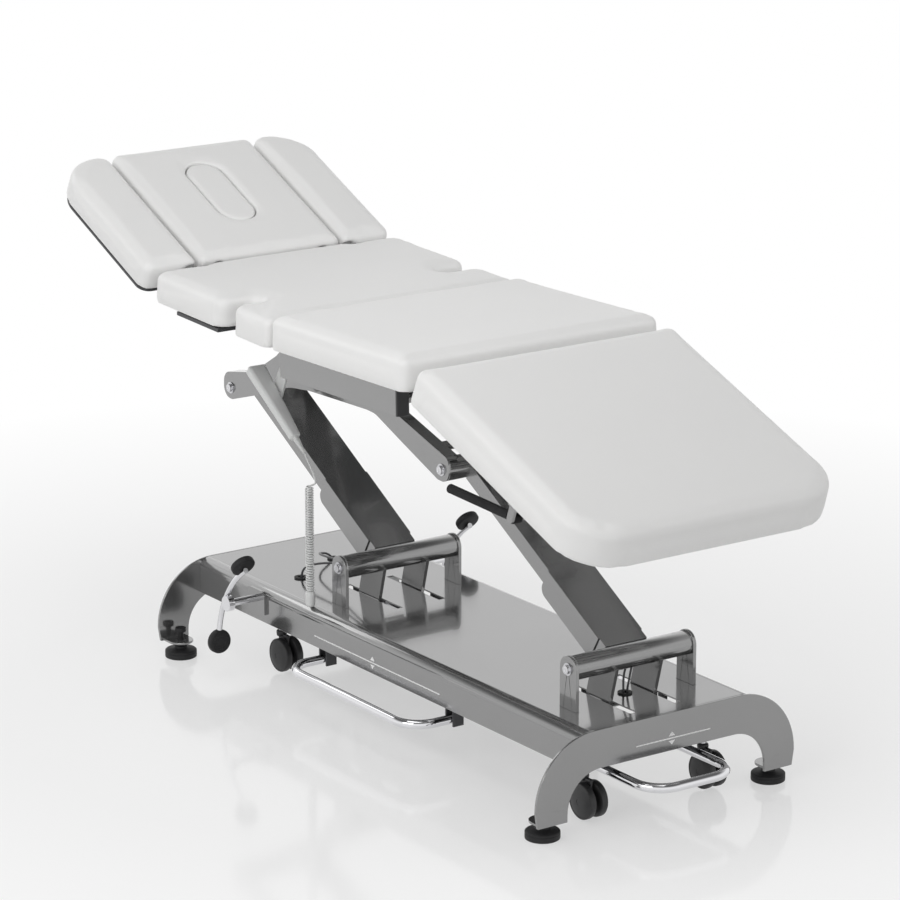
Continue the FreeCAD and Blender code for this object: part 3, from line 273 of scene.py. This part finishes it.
FLOAT, COLOUR, VECTOR = "NodeSocketFloat", "NodeSocketColor", "NodeSocketVector"
play, given, result = new_group(
    "surface_play",
    [("Vector", VECTOR, None), ("Light Tone", COLOUR, (1, 1, 1, 1)), ("Dark Tone", COLOUR, (0.5, 0.5, 0.5, 1)),
     ("Patch Scale", FLOAT, 6), ("Roughness Low", FLOAT, 0.3), ("Roughness High", FLOAT, 0.4)],
    [("Color", COLOUR), ("Roughness", FLOAT)],
)
patches = play.nodes.new("ShaderNodeTexNoise")
patches.inputs["Detail"].default_value = 5
tone = play.nodes.new("ShaderNodeMix")
tone.data_type = "RGBA"
rough = play.nodes.new("ShaderNodeMapRange")
play.links.new(given.outputs["Vector"], patches.inputs["Vector"])
play.links.new(given.outputs["Patch Scale"], patches.inputs["Scale"])
play.links.new(patches.outputs["Fac"], tone.inputs["Factor"])
play.links.new(given.outputs["Light Tone"], tone.inputs[6])
play.links.new(given.outputs["Dark Tone"], tone.inputs[7])
play.links.new(patches.outputs["Fac"], rough.inputs["Value"])
play.links.new(given.outputs["Roughness Low"], rough.inputs["To Min"])
play.links.new(given.outputs["Roughness High"], rough.inputs["To Max"])
play.links.new(tone.outputs[2], result.inputs["Color"])
play.links.new(rough.outputs["Result"], result.inputs["Roughness"])

relief, given, result = new_group(
    "fine_relief",
    [("Vector", VECTOR, None), ("Pebble Scale", FLOAT, 700), ("Pebbles", FLOAT, 0.5),
     ("Wave Scale", FLOAT, 30), ("Waves", FLOAT, 0.5)],
    [("Height", FLOAT)],
)
pebble = relief.nodes.new("ShaderNodeTexVoronoi")
pebble.feature = "DISTANCE_TO_EDGE"
wave = relief.nodes.new("ShaderNodeTexNoise")
wave.inputs["Detail"].default_value = 3
weigh_pebble = relief.nodes.new("ShaderNodeMath")
weigh_wave = relief.nodes.new("ShaderNodeMath")
summed = relief.nodes.new("ShaderNodeMath")
weigh_pebble.operation = weigh_wave.operation = "MULTIPLY"
relief.links.new(given.outputs["Vector"], pebble.inputs["Vector"])
relief.links.new(given.outputs["Pebble Scale"], pebble.inputs["Scale"])
relief.links.new(given.outputs["Vector"], wave.inputs["Vector"])
relief.links.new(given.outputs["Wave Scale"], wave.inputs["Scale"])
relief.links.new(pebble.outputs["Distance"], weigh_pebble.inputs[0])
relief.links.new(given.outputs["Pebbles"], weigh_pebble.inputs[1])
relief.links.new(wave.outputs["Fac"], weigh_wave.inputs[0])
relief.links.new(given.outputs["Waves"], weigh_wave.inputs[1])
relief.links.new(weigh_pebble.outputs[0], summed.inputs[0])
relief.links.new(weigh_wave.outputs[0], summed.inputs[1])
relief.links.new(summed.outputs[0], result.inputs["Height"])


# %% [markdown]
# One function mixes a finish from those groups: a light and a dark tone that are
# close together, a range of roughness, and the relief. What is the same all over
# a surface, such as how metallic it is or its clear coat, is set on the shader.

# %% A finish from the groups
def finish(name, light, dark, roughness, patch, pebble, waves, depth, **constants):
    material = bpy.data.materials.new(name)
    material.use_nodes = True
    nodes, links = material.node_tree.nodes, material.node_tree.links
    shader = nodes["Principled BSDF"]
    where = nodes.new("ShaderNodeTexCoord")
    colour = nodes.new("ShaderNodeGroup")
    colour.node_tree = play
    colour.inputs["Light Tone"].default_value = (*light, 1)
    colour.inputs["Dark Tone"].default_value = (*dark, 1)
    colour.inputs["Patch Scale"].default_value = patch
    colour.inputs["Roughness Low"].default_value = roughness[0]
    colour.inputs["Roughness High"].default_value = roughness[1]
    grain = nodes.new("ShaderNodeGroup")
    grain.node_tree = relief
    grain.inputs["Pebble Scale"].default_value = pebble[0]
    grain.inputs["Pebbles"].default_value = pebble[1]
    grain.inputs["Wave Scale"].default_value = waves[0]
    grain.inputs["Waves"].default_value = waves[1]
    bump = nodes.new("ShaderNodeBump")
    bump.inputs["Strength"].default_value = 1
    bump.inputs["Distance"].default_value = depth
    links.new(where.outputs["Object"], colour.inputs["Vector"])
    links.new(where.outputs["Object"], grain.inputs["Vector"])
    links.new(colour.outputs["Color"], shader.inputs["Base Color"])
    links.new(colour.outputs["Roughness"], shader.inputs["Roughness"])
    links.new(grain.outputs["Height"], bump.inputs["Height"])
    links.new(bump.outputs["Normal"], shader.inputs["Normal"])
    for label, value in constants.items():
        shader.inputs[label.replace("_", " ")].default_value = value
    return material


# %% [markdown]
# The finishes of the table. The frame is silver-grey metallic powder coat under
# a clear coat, the bars and pins are chromed, the cushions are wrapped in a
# smooth white artificial leather with a very fine grain, and the moulded parts
# are black or pale grey.

# %% The finishes
silver_paint = finish("silver_paint", (0.3, 0.3, 0.3), (0.27, 0.27, 0.27), (0.13, 0.18), 5,
                      (900, 0), (40, 1), 0.00005, Metallic=0.8, Coat_Weight=0.6, Coat_Roughness=0.03)
zinc_plate = finish("zinc_plate", (0.68, 0.68, 0.7), (0.56, 0.56, 0.58), (0.18, 0.3), 40,
                    (1500, 0.3), (200, 0.5), 0.00005, Metallic=1.0)
chrome_bar = finish("chrome_bar", (0.8, 0.8, 0.82), (0.72, 0.72, 0.74), (0.05, 0.09), 12,
                    (1500, 0.1), (60, 0.5), 0.00002, Metallic=1.0)
black_rubber = finish("black_rubber", (0.022, 0.022, 0.023), (0.014, 0.014, 0.015), (0.5, 0.66), 25,
                      (1100, 0.8), (90, 0.4), 0.00015, Specular_IOR_Level=0.35)
black_plastic = finish("black_plastic", (0.022, 0.022, 0.024), (0.015, 0.015, 0.017), (0.3, 0.42), 18,
                       (1300, 0.7), (80, 0.3), 0.00008)
tyre_tread = finish("tyre_tread", (0.025, 0.025, 0.026), (0.016, 0.016, 0.017), (0.38, 0.52), 30,
                    (900, 0.5), (120, 0.5), 0.0001)
pale_plastic = finish("white_plastic", (0.72, 0.725, 0.72), (0.66, 0.665, 0.66), (0.26, 0.36), 20,
                      (1200, 0.5), (60, 0.3), 0.00005, Coat_Weight=0.1)
dark_coat = finish("dark_frame", (0.075, 0.076, 0.08), (0.05, 0.051, 0.054), (0.34, 0.46), 12,
                   (900, 0.5), (60, 0.6), 0.00012, Metallic=0.4)
white_leather = finish("white_leather", (0.86, 0.858, 0.85), (0.83, 0.828, 0.822), (0.4, 0.5), 3,
                       (620, 0.75), (26, 0.25), 0.00028, Sheen_Weight=0.08, Specular_IOR_Level=0.45)
white_print = finish("white_print", (0.9, 0.9, 0.9), (0.86, 0.86, 0.86), (0.4, 0.5), 60,
                     (1500, 0.4), (200, 0.3), 0.00002)
FINISHES = {
    "silver_paint": silver_paint, "zinc_plate": zinc_plate, "chrome_bar": chrome_bar,
    "black_rubber": black_rubber, "black_plastic": black_plastic, "tyre": tyre_tread,
    "white_plastic": pale_plastic, "dark_frame": dark_coat, "white_leather": white_leather,
}
print("finishes", sorted(FINISHES))

# %% [markdown]
# The loaded steel parts are right in shape, so they keep it. They come as loose
# triangles with knife-sharp edges, which catch no light. A Weld and a fine
# Bevel modifier, left live, give each folded or sawn edge the small radius that
# paint and deburring leave.

# %% Finish the steel parts
slot_of = {entry["node"]: entry["material_slot"] for entry in frame["record"]["subparts"]}
BEVELLED = {"silver_paint": 0.0009, "dark_frame": 0.0008, "black_plastic": 0.0008, "white_plastic": 0.0006}
for name, part in frame["nodes"].items():
    part.data.materials.clear()
    part.data.materials.append(FINISHES[slot_of[name]])
    width = BEVELLED.get(slot_of[name])
    if width:
        weld = part.modifiers.new("weld", "WELD")
        weld.merge_threshold = 0.00002
        edge = part.modifiers.new("edge", "BEVEL")
        edge.width = width
        edge.segments = 2
        edge.limit_method = "ANGLE"
        edge.angle_limit = math.radians(42)
        edge.use_clamp_overlap = True
        edge.harden_normals = True

# The two boards under the shoulders are part of the chest frame; their faces get the dark finish as painted shade,
# standing in for the shadowed gaps beside the shoulders.
SHADED_SHOULDER_Y = 0.2255
shoulder_shade_mesh = frame["nodes"]["chest_frame"].data
shoulder_shade_mesh.materials.append(dark_coat)
# painted shade: faces beyond this width take the dark finish in place of the shadow in the shoulder gaps
for face in shoulder_shade_mesh.polygons:
    if abs(face.center.y) > SHADED_SHOULDER_Y:
        face.material_index = 1

# %% [markdown]
# The cushions are foam on a board, wrapped in artificial leather that is pulled
# tight and stapled underneath. Tight upholstery is still soft: the top crowns a
# little, the edges round over and the corners pull in. Each cushion starts from
# its CAD shape, laid flat and remeshed evenly, made a little smaller, and is
# then blown up as cloth with its underside held by the board. Limits across and
# up keep each point where the foam would stop it. The hinge pockets under the
# leather are closed with blocks of foam first, so that the cover stays whole
# above them.

# %% Upholster a cushion
LEATHER_STEPS = 12


def foam_block(low, high):
    """A block between two corners in mm on the flat-laid cushion."""
    middle = [(a + b) / 2000 for a, b in zip(low, high)]
    bpy.ops.mesh.primitive_cube_add(size=1, location=middle)
    block = bpy.context.object
    block.scale = [(b - a) / 1000 for a, b in zip(low, high)]
    only(block)
    bpy.ops.object.transform_apply(location=True, rotation=True, scale=True)
    return block


def inflate(pad, start, spread, crown):
    """Blows the cover up as cloth over a few steps, within its limits."""
    cloth = pad.modifiers.new("cloth", "CLOTH")
    cloth.settings.use_pressure = True
    cloth.settings.uniform_pressure_force = 5
    cloth.settings.vertex_group_mass = "board"
    cloth.settings.effector_weights.gravity = 0
    cloth.settings.quality = 4
    cloth.settings.tension_stiffness = 25
    cloth.settings.compression_stiffness = 25
    cloth.settings.bending_stiffness = 2
    cloth.point_cache.frame_end = LEATHER_STEPS
    for step in range(1, LEATHER_STEPS + 1):
        scene.frame_set(step)
    only(pad)
    bpy.ops.object.modifier_apply(modifier=cloth.name)
    scene.frame_set(1)
    for p, home in zip(pad.data.vertices, start):
        moved = p.co - home
        flat = Vector((moved.x, moved.y, 0))
        if flat.length > spread:
            flat = flat.normalized() * spread
        p.co = home + flat + Vector((0, 0, max(-spread, min(crown, moved.z))))


def upholster(node, body, place, voxel=0.006, shrink=0.0015, crown=0.0045, foam=()):
    """Turns a plain CAD cushion into a crowned padded one and returns it."""
    x, z, tilt = place
    only(frame["nodes"][node])
    bpy.ops.object.duplicate()
    pad = bpy.context.object
    pad.modifiers.clear()
    lay_flat = Matrix.Rotation(-math.radians(tilt), 4, "Y") @ Matrix.Translation(-point(x, 0, z))
    stand_up = lay_flat.inverted()
    pad.data.transform(lay_flat)
    bpy.ops.object.mode_set(mode="EDIT")
    bpy.ops.mesh.select_all(action="SELECT")
    bpy.ops.mesh.remove_doubles(threshold=0.0002)
    bpy.ops.mesh.separate(type="LOOSE")
    leave_edit()
    loose = sorted(bpy.context.selected_objects, key=lambda part: part.dimensions.z)
    pad = loose.pop()
    for board in loose:
        board.data.transform(stand_up)
        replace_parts(settle(board, "board_" + node, body, dark_coat), node)
    if foam:
        pad = join([pad] + [foam_block(low, high) for low, high in foam])
    apply_modifier(pad, "REMESH", mode="VOXEL", voxel_size=voxel)
    bpy.ops.object.mode_set(mode="EDIT")
    bpy.ops.mesh.select_all(action="SELECT")
    bpy.ops.transform.shrink_fatten(value=-shrink)
    leave_edit()
    points = pad.data.vertices
    underside = min(p.co.z for p in points)
    held = pad.vertex_groups.new(name="board")
    held.add([p.index for p in points if p.co.z < underside + 0.012], 1.0, "REPLACE")
    inflate(pad, [p.co.copy() for p in points], shrink, crown)
    apply_modifier(pad, "SMOOTH", factor=0.5, iterations=4)
    apply_modifier(pad, "SUBSURF", levels=1, render_levels=1)
    pad.data.transform(stand_up)
    for face in pad.data.polygons:
        face.use_smooth = True
    pad.name = "cover_" + node
    pad.data.materials.clear()
    pad.data.materials.append(white_leather)
    pad.vertex_groups.clear()
    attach(pad, body)
    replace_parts(pad, node)
    print(pad.name, "faces", len(pad.data.polygons))
    return pad


def both_sides(along, across, height):
    """The same block on the near and the far side, from (low, high) pairs in mm."""
    (s0, s1), (y0, y1), (n0, n1) = along, across, height
    return [((s0, y0, n0), (s1, y1, n1)), ((s0, -y1, n0), (s1, -y0, n1))]


SEAT = (-240, 801, -1.26)
LEG = (265.43, 787.01, 20.7)
CHEST = (-241.14, 852.99, 1.8)
HEAD = (-727, 863, 24.0)
seat_cover = upholster("seat_pad", "carriage", SEAT, foam=both_sides((10.5, 31), (147, 177), (3, 66)))
leg_cover = upholster("leg_pad", "leg", LEG, 0.007)
chest_foam = both_sides((-33, -10.5), (147, 177), (-52, 11.5)) + both_sides((-475.4, -464), (124, 150), (-52, 6.5))
chest_cover = upholster("chest_pad", "chest", CHEST, foam=chest_foam)
head_cover = upholster("head_pad", "head", HEAD, 0.005, 0.001, 0.0035, both_sides((-35, -10.5), (124, 150), (4, 12)))
arm_foam = both_sides((-35, -10.5), (195, 225), (4, 12))
near_cover = upholster("arm_pad_near", "arm_rest_near", HEAD, foam=arm_foam[1:])
far_cover = upholster("arm_pad_far", "arm_rest_far", HEAD, foam=arm_foam[:1])
plug_cover = upholster("face_plug", "plug", HEAD, 0.004, 0.0003, 0.0015)

# %% [markdown]
# The only marks kept on the steel are plain ones: a thin white line with a
# triangle above and one below it, on the near flange of the pan and on the end
# plate at the leg end. They are cut as thin plates and lie on the paint.

# %% Thin printed marks
def printed(name, corners):
    """A thin plate from its corner points, a quarter of a millimetre thick."""
    bpy.ops.mesh.primitive_plane_add(size=1)
    plate = bpy.context.object
    only(plate)
    plate.data.clear_geometry()
    plate.data.from_pydata([point(*corner) for corner in corners], [], [list(range(len(corners)))])
    apply_modifier(plate, "SOLIDIFY", thickness=0.00025, offset=0)
    return settle(plate, name, "base", white_print)


FLANGE = -216.15
printed("print_near_line", [(-239, FLANGE, 153), (230, FLANGE, 153), (230, FLANGE, 155.6), (-239, FLANGE, 155.6)])
printed("print_near_up", [(-24, FLANGE, 159), (-8, FLANGE, 159), (-16, FLANGE, 168)])
printed("print_near_down", [(-24, FLANGE, 149.6), (-16, FLANGE, 140.6), (-8, FLANGE, 149.6)])
PLATE = 714.15
printed("print_end_line", [(PLATE, -81, 155), (PLATE, 105, 155), (PLATE, 105, 157.6), (PLATE, -81, 157.6)])
printed("print_end_up", [(PLATE, 0, 161), (PLATE, 16, 161), (PLATE, 8, 170)])
printed("print_end_down", [(PLATE, 0, 151.6), (PLATE, 8, 142.6), (PLATE, 16, 151.6)])

# %% [markdown]
# The cord of the hand control is a curly cord. It leaves the control in a thin
# straight stretch and then winds down to the pan in one long helix. The whole
# line is one NURBS spline: the turns are simply more control points.

# %% Curly cord
CORD_WIDE = 3.8


def cord_line(name, route):
    """A round cord along one smooth spline through the given control points."""
    only(camera)
    clear_selection()
    bpy.ops.curve.primitive_nurbs_path_add()
    line = bpy.context.object
    line.name = name
    curve = line.data
    curve.splines.clear()
    spline = curve.splines.new("NURBS")
    spline.points.add(len(route) - 1)
    for control, place in zip(spline.points, route):
        control.co = (*place, 1)
    spline.order_u = 3
    spline.use_endpoint_u = True
    curve.bevel_depth = CORD_WIDE / 2000
    curve.bevel_resolution = 3
    curve.resolution_u = 3
    return line


def line_length(line):
    """The length along a curve's own centreline, measured without its thickness."""
    thick = line.data.bevel_depth
    line.data.bevel_depth = 0
    bare = bpy.data.meshes.new_from_object(line.evaluated_get(bpy.context.evaluated_depsgraph_get()))
    line.data.bevel_depth = thick
    spots = [v.co for v in bare.vertices]
    total = sum((b - a).length for a, b in zip(spots, spots[1:]))
    bpy.data.meshes.remove(bare)
    return total


COIL_X, COIL_Y, COIL_TOP, COIL_FOOT, TURNS, STEPS = -271, -205, 479, 241, 43, 12
coil_route = [point(-266, -191.5, 484.8), point(-266.5, -194, 481.5)]
for step in range(TURNS * STEPS + 1):
    part_way = step / (TURNS * STEPS)
    reach = 8.0 * min(1, 0.35 + step / 18, 0.35 + (TURNS * STEPS - step) / 30)
    angle = math.tau * step / STEPS + 1.1
    coil_route.append(point(
        COIL_X + reach * math.cos(angle),
        COIL_Y + reach * math.sin(angle),
        COIL_TOP + (COIL_FOOT - COIL_TOP) * part_way,
    ))
coil_route += [point(-271, -205, 238), point(-271, -205, 214)]
coil = cord_line("handset_coil", coil_route)
coil.data.materials.append(pale_plastic)
coil_length = line_length(coil)
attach(coil, "base")
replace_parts(coil, "handset_cord")
print("curly cord", round(coil_length, 3), "m in", TURNS, "turns")

lead_route = [point(-326.6, -180, 533.6), point(-298, -185, 514), point(-276, -189, 499),
              point(-266, -191.5, 484.8)]
lead = cord_line("handset_thin_lead", lead_route)
lead.data.materials.append(pale_plastic)
lead_length = line_length(lead)
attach(lead, "handset")
print("thin lead", round(lead_length, 3), "m")

# %% [markdown]
# Where the cord enters the pan it passes a moulded gland, and where it leaves
# the control it has a ribbed strain relief. Both are turned shapes: a circle is
# extruded and scaled ring by ring, as on a lathe.

# %% Gland and strain relief
def turned(name, base, direction, rings, sides=24):
    """A turned piece: rings are (distance along, radius) in mm from base."""
    bpy.ops.mesh.primitive_circle_add(vertices=sides, radius=rings[0][1] / 1000, fill_type="NGON")
    piece = bpy.context.object
    only(piece)
    bpy.ops.object.mode_set(mode="EDIT")
    bpy.ops.mesh.select_all(action="SELECT")
    for before, after in zip(rings, rings[1:]):
        bpy.ops.mesh.extrude_region_move(TRANSFORM_OT_translate={"value": (0, 0, (after[0] - before[0]) / 1000)})
        grow = after[1] / before[1]
        bpy.ops.transform.resize(value=(grow, grow, 1))
    bpy.ops.mesh.select_all(action="SELECT")
    bpy.ops.mesh.normals_make_consistent(inside=False)
    leave_edit()
    piece.rotation_euler = Vector(direction).to_track_quat("Z", "Y").to_euler()
    piece.location = base
    bpy.ops.object.transform_apply(location=True, rotation=True, scale=True)
    bpy.ops.object.shade_smooth_by_angle(angle=math.radians(40))
    piece.name = name
    return piece


gland_rings = [(0, 5.5), (0.8, 8), (3, 9.6), (8, 10.6), (18, 11), (28, 10.8), (32, 10), (34, 8.6), (34.8, 6),
               (35, 2.5)]
gland = turned("cord_gland", point(-271, -205, 209.4), (0, 0, 1), gland_rings)
settle(gland, "cord_gland", "base", pale_plastic)
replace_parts(gland, "handset_cord")

HANDSET = (-522, 683, 37.4)
relief_foot = on_line(HANDSET, 200, -180, 0)
relief_tip = on_line(HANDSET, 246, -180, 0)
relief_rings = [(0, 7.4), (2, 7.6)]
for rib in range(9):
    foot = 3 + rib * 4.6
    wide = 7.3 - rib * 0.45
    relief_rings += [(foot, wide), (foot + 2.6, wide - 0.1), (foot + 3.0, wide - 1.3), (foot + 4.2, wide - 1.5)]
relief_rings += [(45.5, 2.4)]
strain_relief = turned("handset_strain_relief", relief_foot, relief_tip - relief_foot, relief_rings)
settle(strain_relief, "handset_strain_relief", "handset", pale_plastic)
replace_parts(lead, "handset_lead")
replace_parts(strain_relief, "handset_lead")

# %% [markdown]
# The casters are twin-wheel furniture castors: two domed discs on one axle with
# a narrow fork between them, a collar and a bright stem. A disc is a lathe
# shape, so each of the eight is turned in its own place.

# %% Casters
def copy_of(piece, name, shift):
    only(piece)
    bpy.ops.object.duplicate()
    twin = bpy.context.object
    twin.data.transform(Matrix.Translation(shift))
    twin.name = name
    return twin


wheel_rings = [(0, 9), (0.4, 30), (1.2, 34), (2.5, 36.6), (5, 37.5), (13, 37.5), (15.2, 37), (16.6, 35.6), (17, 34.2),
               (16.2, 33.6), (16.4, 32.4), (18.6, 27), (20.2, 19), (20.9, 11), (21, 6), (20.4, 5.4), (20.4, 1)]
CASTERS = {1: (-472, -151), 2: (-472, 151), 3: (635, -151), 4: (635, 151)}
for number, (stem_x, stem_y) in CASTERS.items():
    swivel, roll = "caster_swivel_%d" % number, "caster_roll_%d" % number
    axle = (stem_x + 18, stem_y, 42)
    discs = []
    for side in (-1, 1):
        disc = turned("disc", point(axle[0], stem_y + side * 5.2, axle[2]), (0, side, 0), wheel_rings, 40)
        discs.append(disc)
    pair = join(discs)
    settle(pair, "caster_wheel_pair_%d" % number, roll, tyre_tread)
    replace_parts(pair, "caster_wheels_%d" % number)

    bpy.ops.mesh.primitive_cube_add(size=1, location=point(stem_x + 8, stem_y, 62))
    fork = bpy.context.object
    fork.scale = (0.042, 0.0085, 0.05)
    only(fork)
    bpy.ops.object.transform_apply(location=False, rotation=False, scale=True)
    pick_faces(fork, lambda centre, normal: normal.z < -0.9)
    bpy.ops.transform.translate(value=(0.008, 0, 0))
    bpy.ops.transform.resize(value=(0.55, 1, 1))
    leave_edit()
    apply_modifier(fork, "BEVEL", width=0.0035, segments=3)
    collar = turned("collar", point(stem_x, stem_y, 79), (0, 0, 1),
                    [(0, 7), (1.5, 11), (9, 12), (12.5, 11.4), (14, 9.5), (14, 6)])
    lug = turned("lug", point(axle[0], stem_y - 4.4, axle[2]), (0, 1, 0), [(0, 9), (0.6, 10), (8.2, 10), (8.8, 9)])
    body_piece = join([fork, collar, lug])
    settle(body_piece, "caster_fork_%d" % number, swivel, black_plastic)
    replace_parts(body_piece, "caster_hood_%d" % number)
    sleeve = turned("sleeve", point(stem_x, stem_y, 92), (0, 0, 1),
                    [(0, 6), (0.5, 6.8), (10, 6.8), (11, 9), (16, 9.6), (27, 9.6), (27.6, 9)])
    settle(sleeve, "caster_sleeve_%d" % number, swivel, zinc_plate)
    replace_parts(sleeve, "caster_hood_%d" % number)
print("casters", len(CASTERS))

# %% [markdown]
# Each lift pivot is closed by a button-head screw with a hexagon socket. The
# socket is turned inward on the same lathe profile, and the screws sit on the
# outer ends of the pins.

# %% Button-head screws
screw_rings = [(0, 9.2), (1.2, 9.6), (2.6, 9.2), (4.2, 7.6), (5.2, 5.6), (5.4, 4.4), (5.0, 3.9), (2.8, 3.7), (2.4, 1)]
HEAD_PIVOT, FOOT_PIVOT, ARM_LONG, ARM_RISE = -240.1, 581.6, 575.4, math.radians(29.9)
base_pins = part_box("base_pivot_pins")
top_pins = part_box("top_pivot_pins")
screws_base, screws_top = [], []
for pivot in (HEAD_PIVOT, FOOT_PIVOT):
    for side in (-1, 1):
        low_face = side * (base_pins[1][1] * 1000 - 5.2)
        top_face = side * (top_pins[1][1] * 1000 - 5.2)
        top_x, top_z = pivot - ARM_LONG * math.cos(ARM_RISE), 294 + ARM_LONG * math.sin(ARM_RISE)
        screws_base.append(turned("screw", point(pivot, low_face, 294), (0, side, 0), screw_rings, 30))
        screws_top.append(turned("screw", point(top_x, top_face, top_z), (0, side, 0), screw_rings, 30))
settle(join(screws_base), "pivot_screws_base", "base", chrome_bar)
settle(join(screws_top), "pivot_screws_top", "carriage", chrome_bar)

# %% [markdown]
# The feet and the pedal pads are moulded rubber. A mould leaves rounded rims, a
# shallow groove and ribs for grip, so both get a turned profile with those in it.

# %% Rubber feet and pedal pads
FEET = {1: (-681.6, -285), 2: (681.6, -285), 3: (-681.6, 285), 4: (681.6, 285)}
foot_rings = [(0, 33.5), (1, 35), (2.5, 35.4), (11, 35.4), (11.6, 34.6), (12.4, 34.6), (13, 35.4), (15.4, 35.2),
              (17, 33.6), (18.2, 30), (19.4, 17), (21.5, 14.2), (26, 13.6), (27, 12.4)]
knob_rings = [(0, 11), (1, 12.3), (9, 12.3), (10, 12), (10.4, 9.5), (10.8, 5)]
for number, (foot_x, foot_y) in FEET.items():
    body = "levelling_foot_%d" % number
    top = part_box(body)[1][2] * 1000
    disc = turned("disc", point(foot_x, foot_y, 0), (0, 0, 1), foot_rings, 48)
    stud = turned("stud", point(foot_x, foot_y, 26), (0, 0, 1), [(0, 6), (1, 6), (top - 28, 6), (top - 27.4, 5.4)], 20)
    knob = turned("knob", point(foot_x, foot_y, top - 11), (0, 0, 1), knob_rings, 12)
    foot = settle(join([disc, stud, knob]), "rubber_foot_%d" % number, body, black_rubber)
    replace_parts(foot, body)

pad_rings = [(0, 22), (0.8, 25.4), (2.5, 26.8), (11, 26.8), (13.4, 25.8), (14.8, 23.4), (14.9, 20.6), (14.2, 20),
             (14.9, 19.4), (15, 15.6), (14.3, 15), (15, 14.4), (15, 10.6), (14.3, 10), (15, 9.4), (15, 1.5)]
PEDAL_X, PEDAL_Z, PEDAL_Y = -458, 184, 296
pedal_caps = []
for side in (-1, 1):
    for dx, dz, tilt in ((67, 97.1, -53.1), (-48.5, -98, 88)):
        turn = math.radians(tilt)
        facing = Vector((math.sin(turn), 0, math.cos(turn)))
        pedal_caps.append(turned("cap", point(PEDAL_X + dx, side * PEDAL_Y, PEDAL_Z + dz), facing, pad_rings, 40))
pedal_rubber = settle(join(pedal_caps), "pedal_rubbers", "pedals", black_rubber)
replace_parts(pedal_rubber, "pedal_pads")

# %% [markdown]
# The hand control is a slim moulded grip, wide at its hook and narrow at the
# cord. A box is tapered in edit mode, its edges are rounded with a wide bevel,
# and a parting line runs round it where the two shells of the case meet.

# %% Hand control
bpy.ops.mesh.primitive_cube_add(size=1, location=(0, 0, 0))
case = bpy.context.object
case.scale = (0.203, 0.046, 0.024)
only(case)
bpy.ops.object.transform_apply(location=False, rotation=False, scale=True)
case.data.transform(Matrix.Translation((0.1015, 0, 0)))
pick_faces(case, lambda centre, normal: normal.x > 0.9)
bpy.ops.transform.resize(value=(1, 0.52, 0.86))
leave_edit()
apply_modifier(case, "BEVEL", width=0.0075, segments=5)
for cut_z in (0.0007, -0.0007):
    only(case)
    bpy.ops.object.mode_set(mode="EDIT")
    bpy.ops.mesh.select_all(action="SELECT")
    bpy.ops.mesh.bisect(plane_co=(0, 0, cut_z), plane_no=(0, 0, 1))
    leave_edit()
pick_faces(case, lambda centre, normal: abs(centre.z) < 0.00072 and abs(normal.z) < 0.5)
bpy.ops.transform.shrink_fatten(value=-0.0006)
leave_edit()
case.data.transform(Matrix.Translation(on_line(HANDSET, 0, -180, 0)) @ Matrix.Rotation(math.radians(HANDSET[2]), 4, "Y"))
bpy.ops.object.shade_smooth_by_angle(angle=math.radians(35))
settle(case, "handset_case", "handset", pale_plastic)
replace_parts(case, "handset_body")

# %% [markdown]
# Two short bundles of wire leave the pan through grommets and loop up to the
# hollow pivot tubes, with slack for the travel of the lift. They are thin, so a
# plain round line with few control points shows them well.

# %% Wire loops
def wire(name, route, wide):
    only(camera)
    line = cord_line(name, route)
    line.data.bevel_depth = wide / 2000
    line.data.materials.append(wire_grey)
    long = line_length(line)
    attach(line, "base")
    print(name, round(long, 3), "m")


wire_grey = finish("wire_sheath", (0.09, 0.09, 0.095), (0.06, 0.06, 0.065), (0.25, 0.4), 60,
                   (1500, 0.3), (200, 0.4), 0.00003)
wire("wire_loop_foot_a", [point(566, 0, 209), point(565, 0, 222), point(560, 4, 240), point(558, 9, 256),
                          point(563, 12, 269), point(571, 13, 277)], 4.5)
wire("wire_loop_foot_b", [point(571, 5, 209), point(572, 5, 221), point(574, 7, 236), point(572, 12, 252),
                          point(572, 15, 264), point(575, 17, 275)], 4.5)
wire("wire_loop_head_a", [point(-533, 25, 209), point(-534, 18, 222), point(-527, -10, 232), point(-500, -34, 240),
                          point(-455, -42, 246), point(-400, -48, 254), point(-330, -56, 268),
                          point(-262, -60, 284)], 5)
wire("wire_loop_head_b", [point(-453, -110, 209), point(-452, -110, 222), point(-445, -106, 236),
                          point(-420, -92, 248), point(-385, -78, 256), point(-330, -70, 268),
                          point(-262, -70, 283)], 5)

# %% [markdown]
# The grip of the release bar is black foam over a steel rod: fully matt, with
# the fine open cells of sponge rubber. It only needs its own finish.

# %% Foam grip
foam_grip = finish("foam_grip", (0.03, 0.03, 0.031), (0.018, 0.018, 0.019), (0.75, 0.9), 30,
                   (800, 1.0), (300, 0.8), 0.0004, Specular_IOR_Level=0.2)
grip_node = frame["nodes"]["leg_release_bar"]
grip_node.data.materials.clear()
grip_node.data.materials.append(foam_grip)
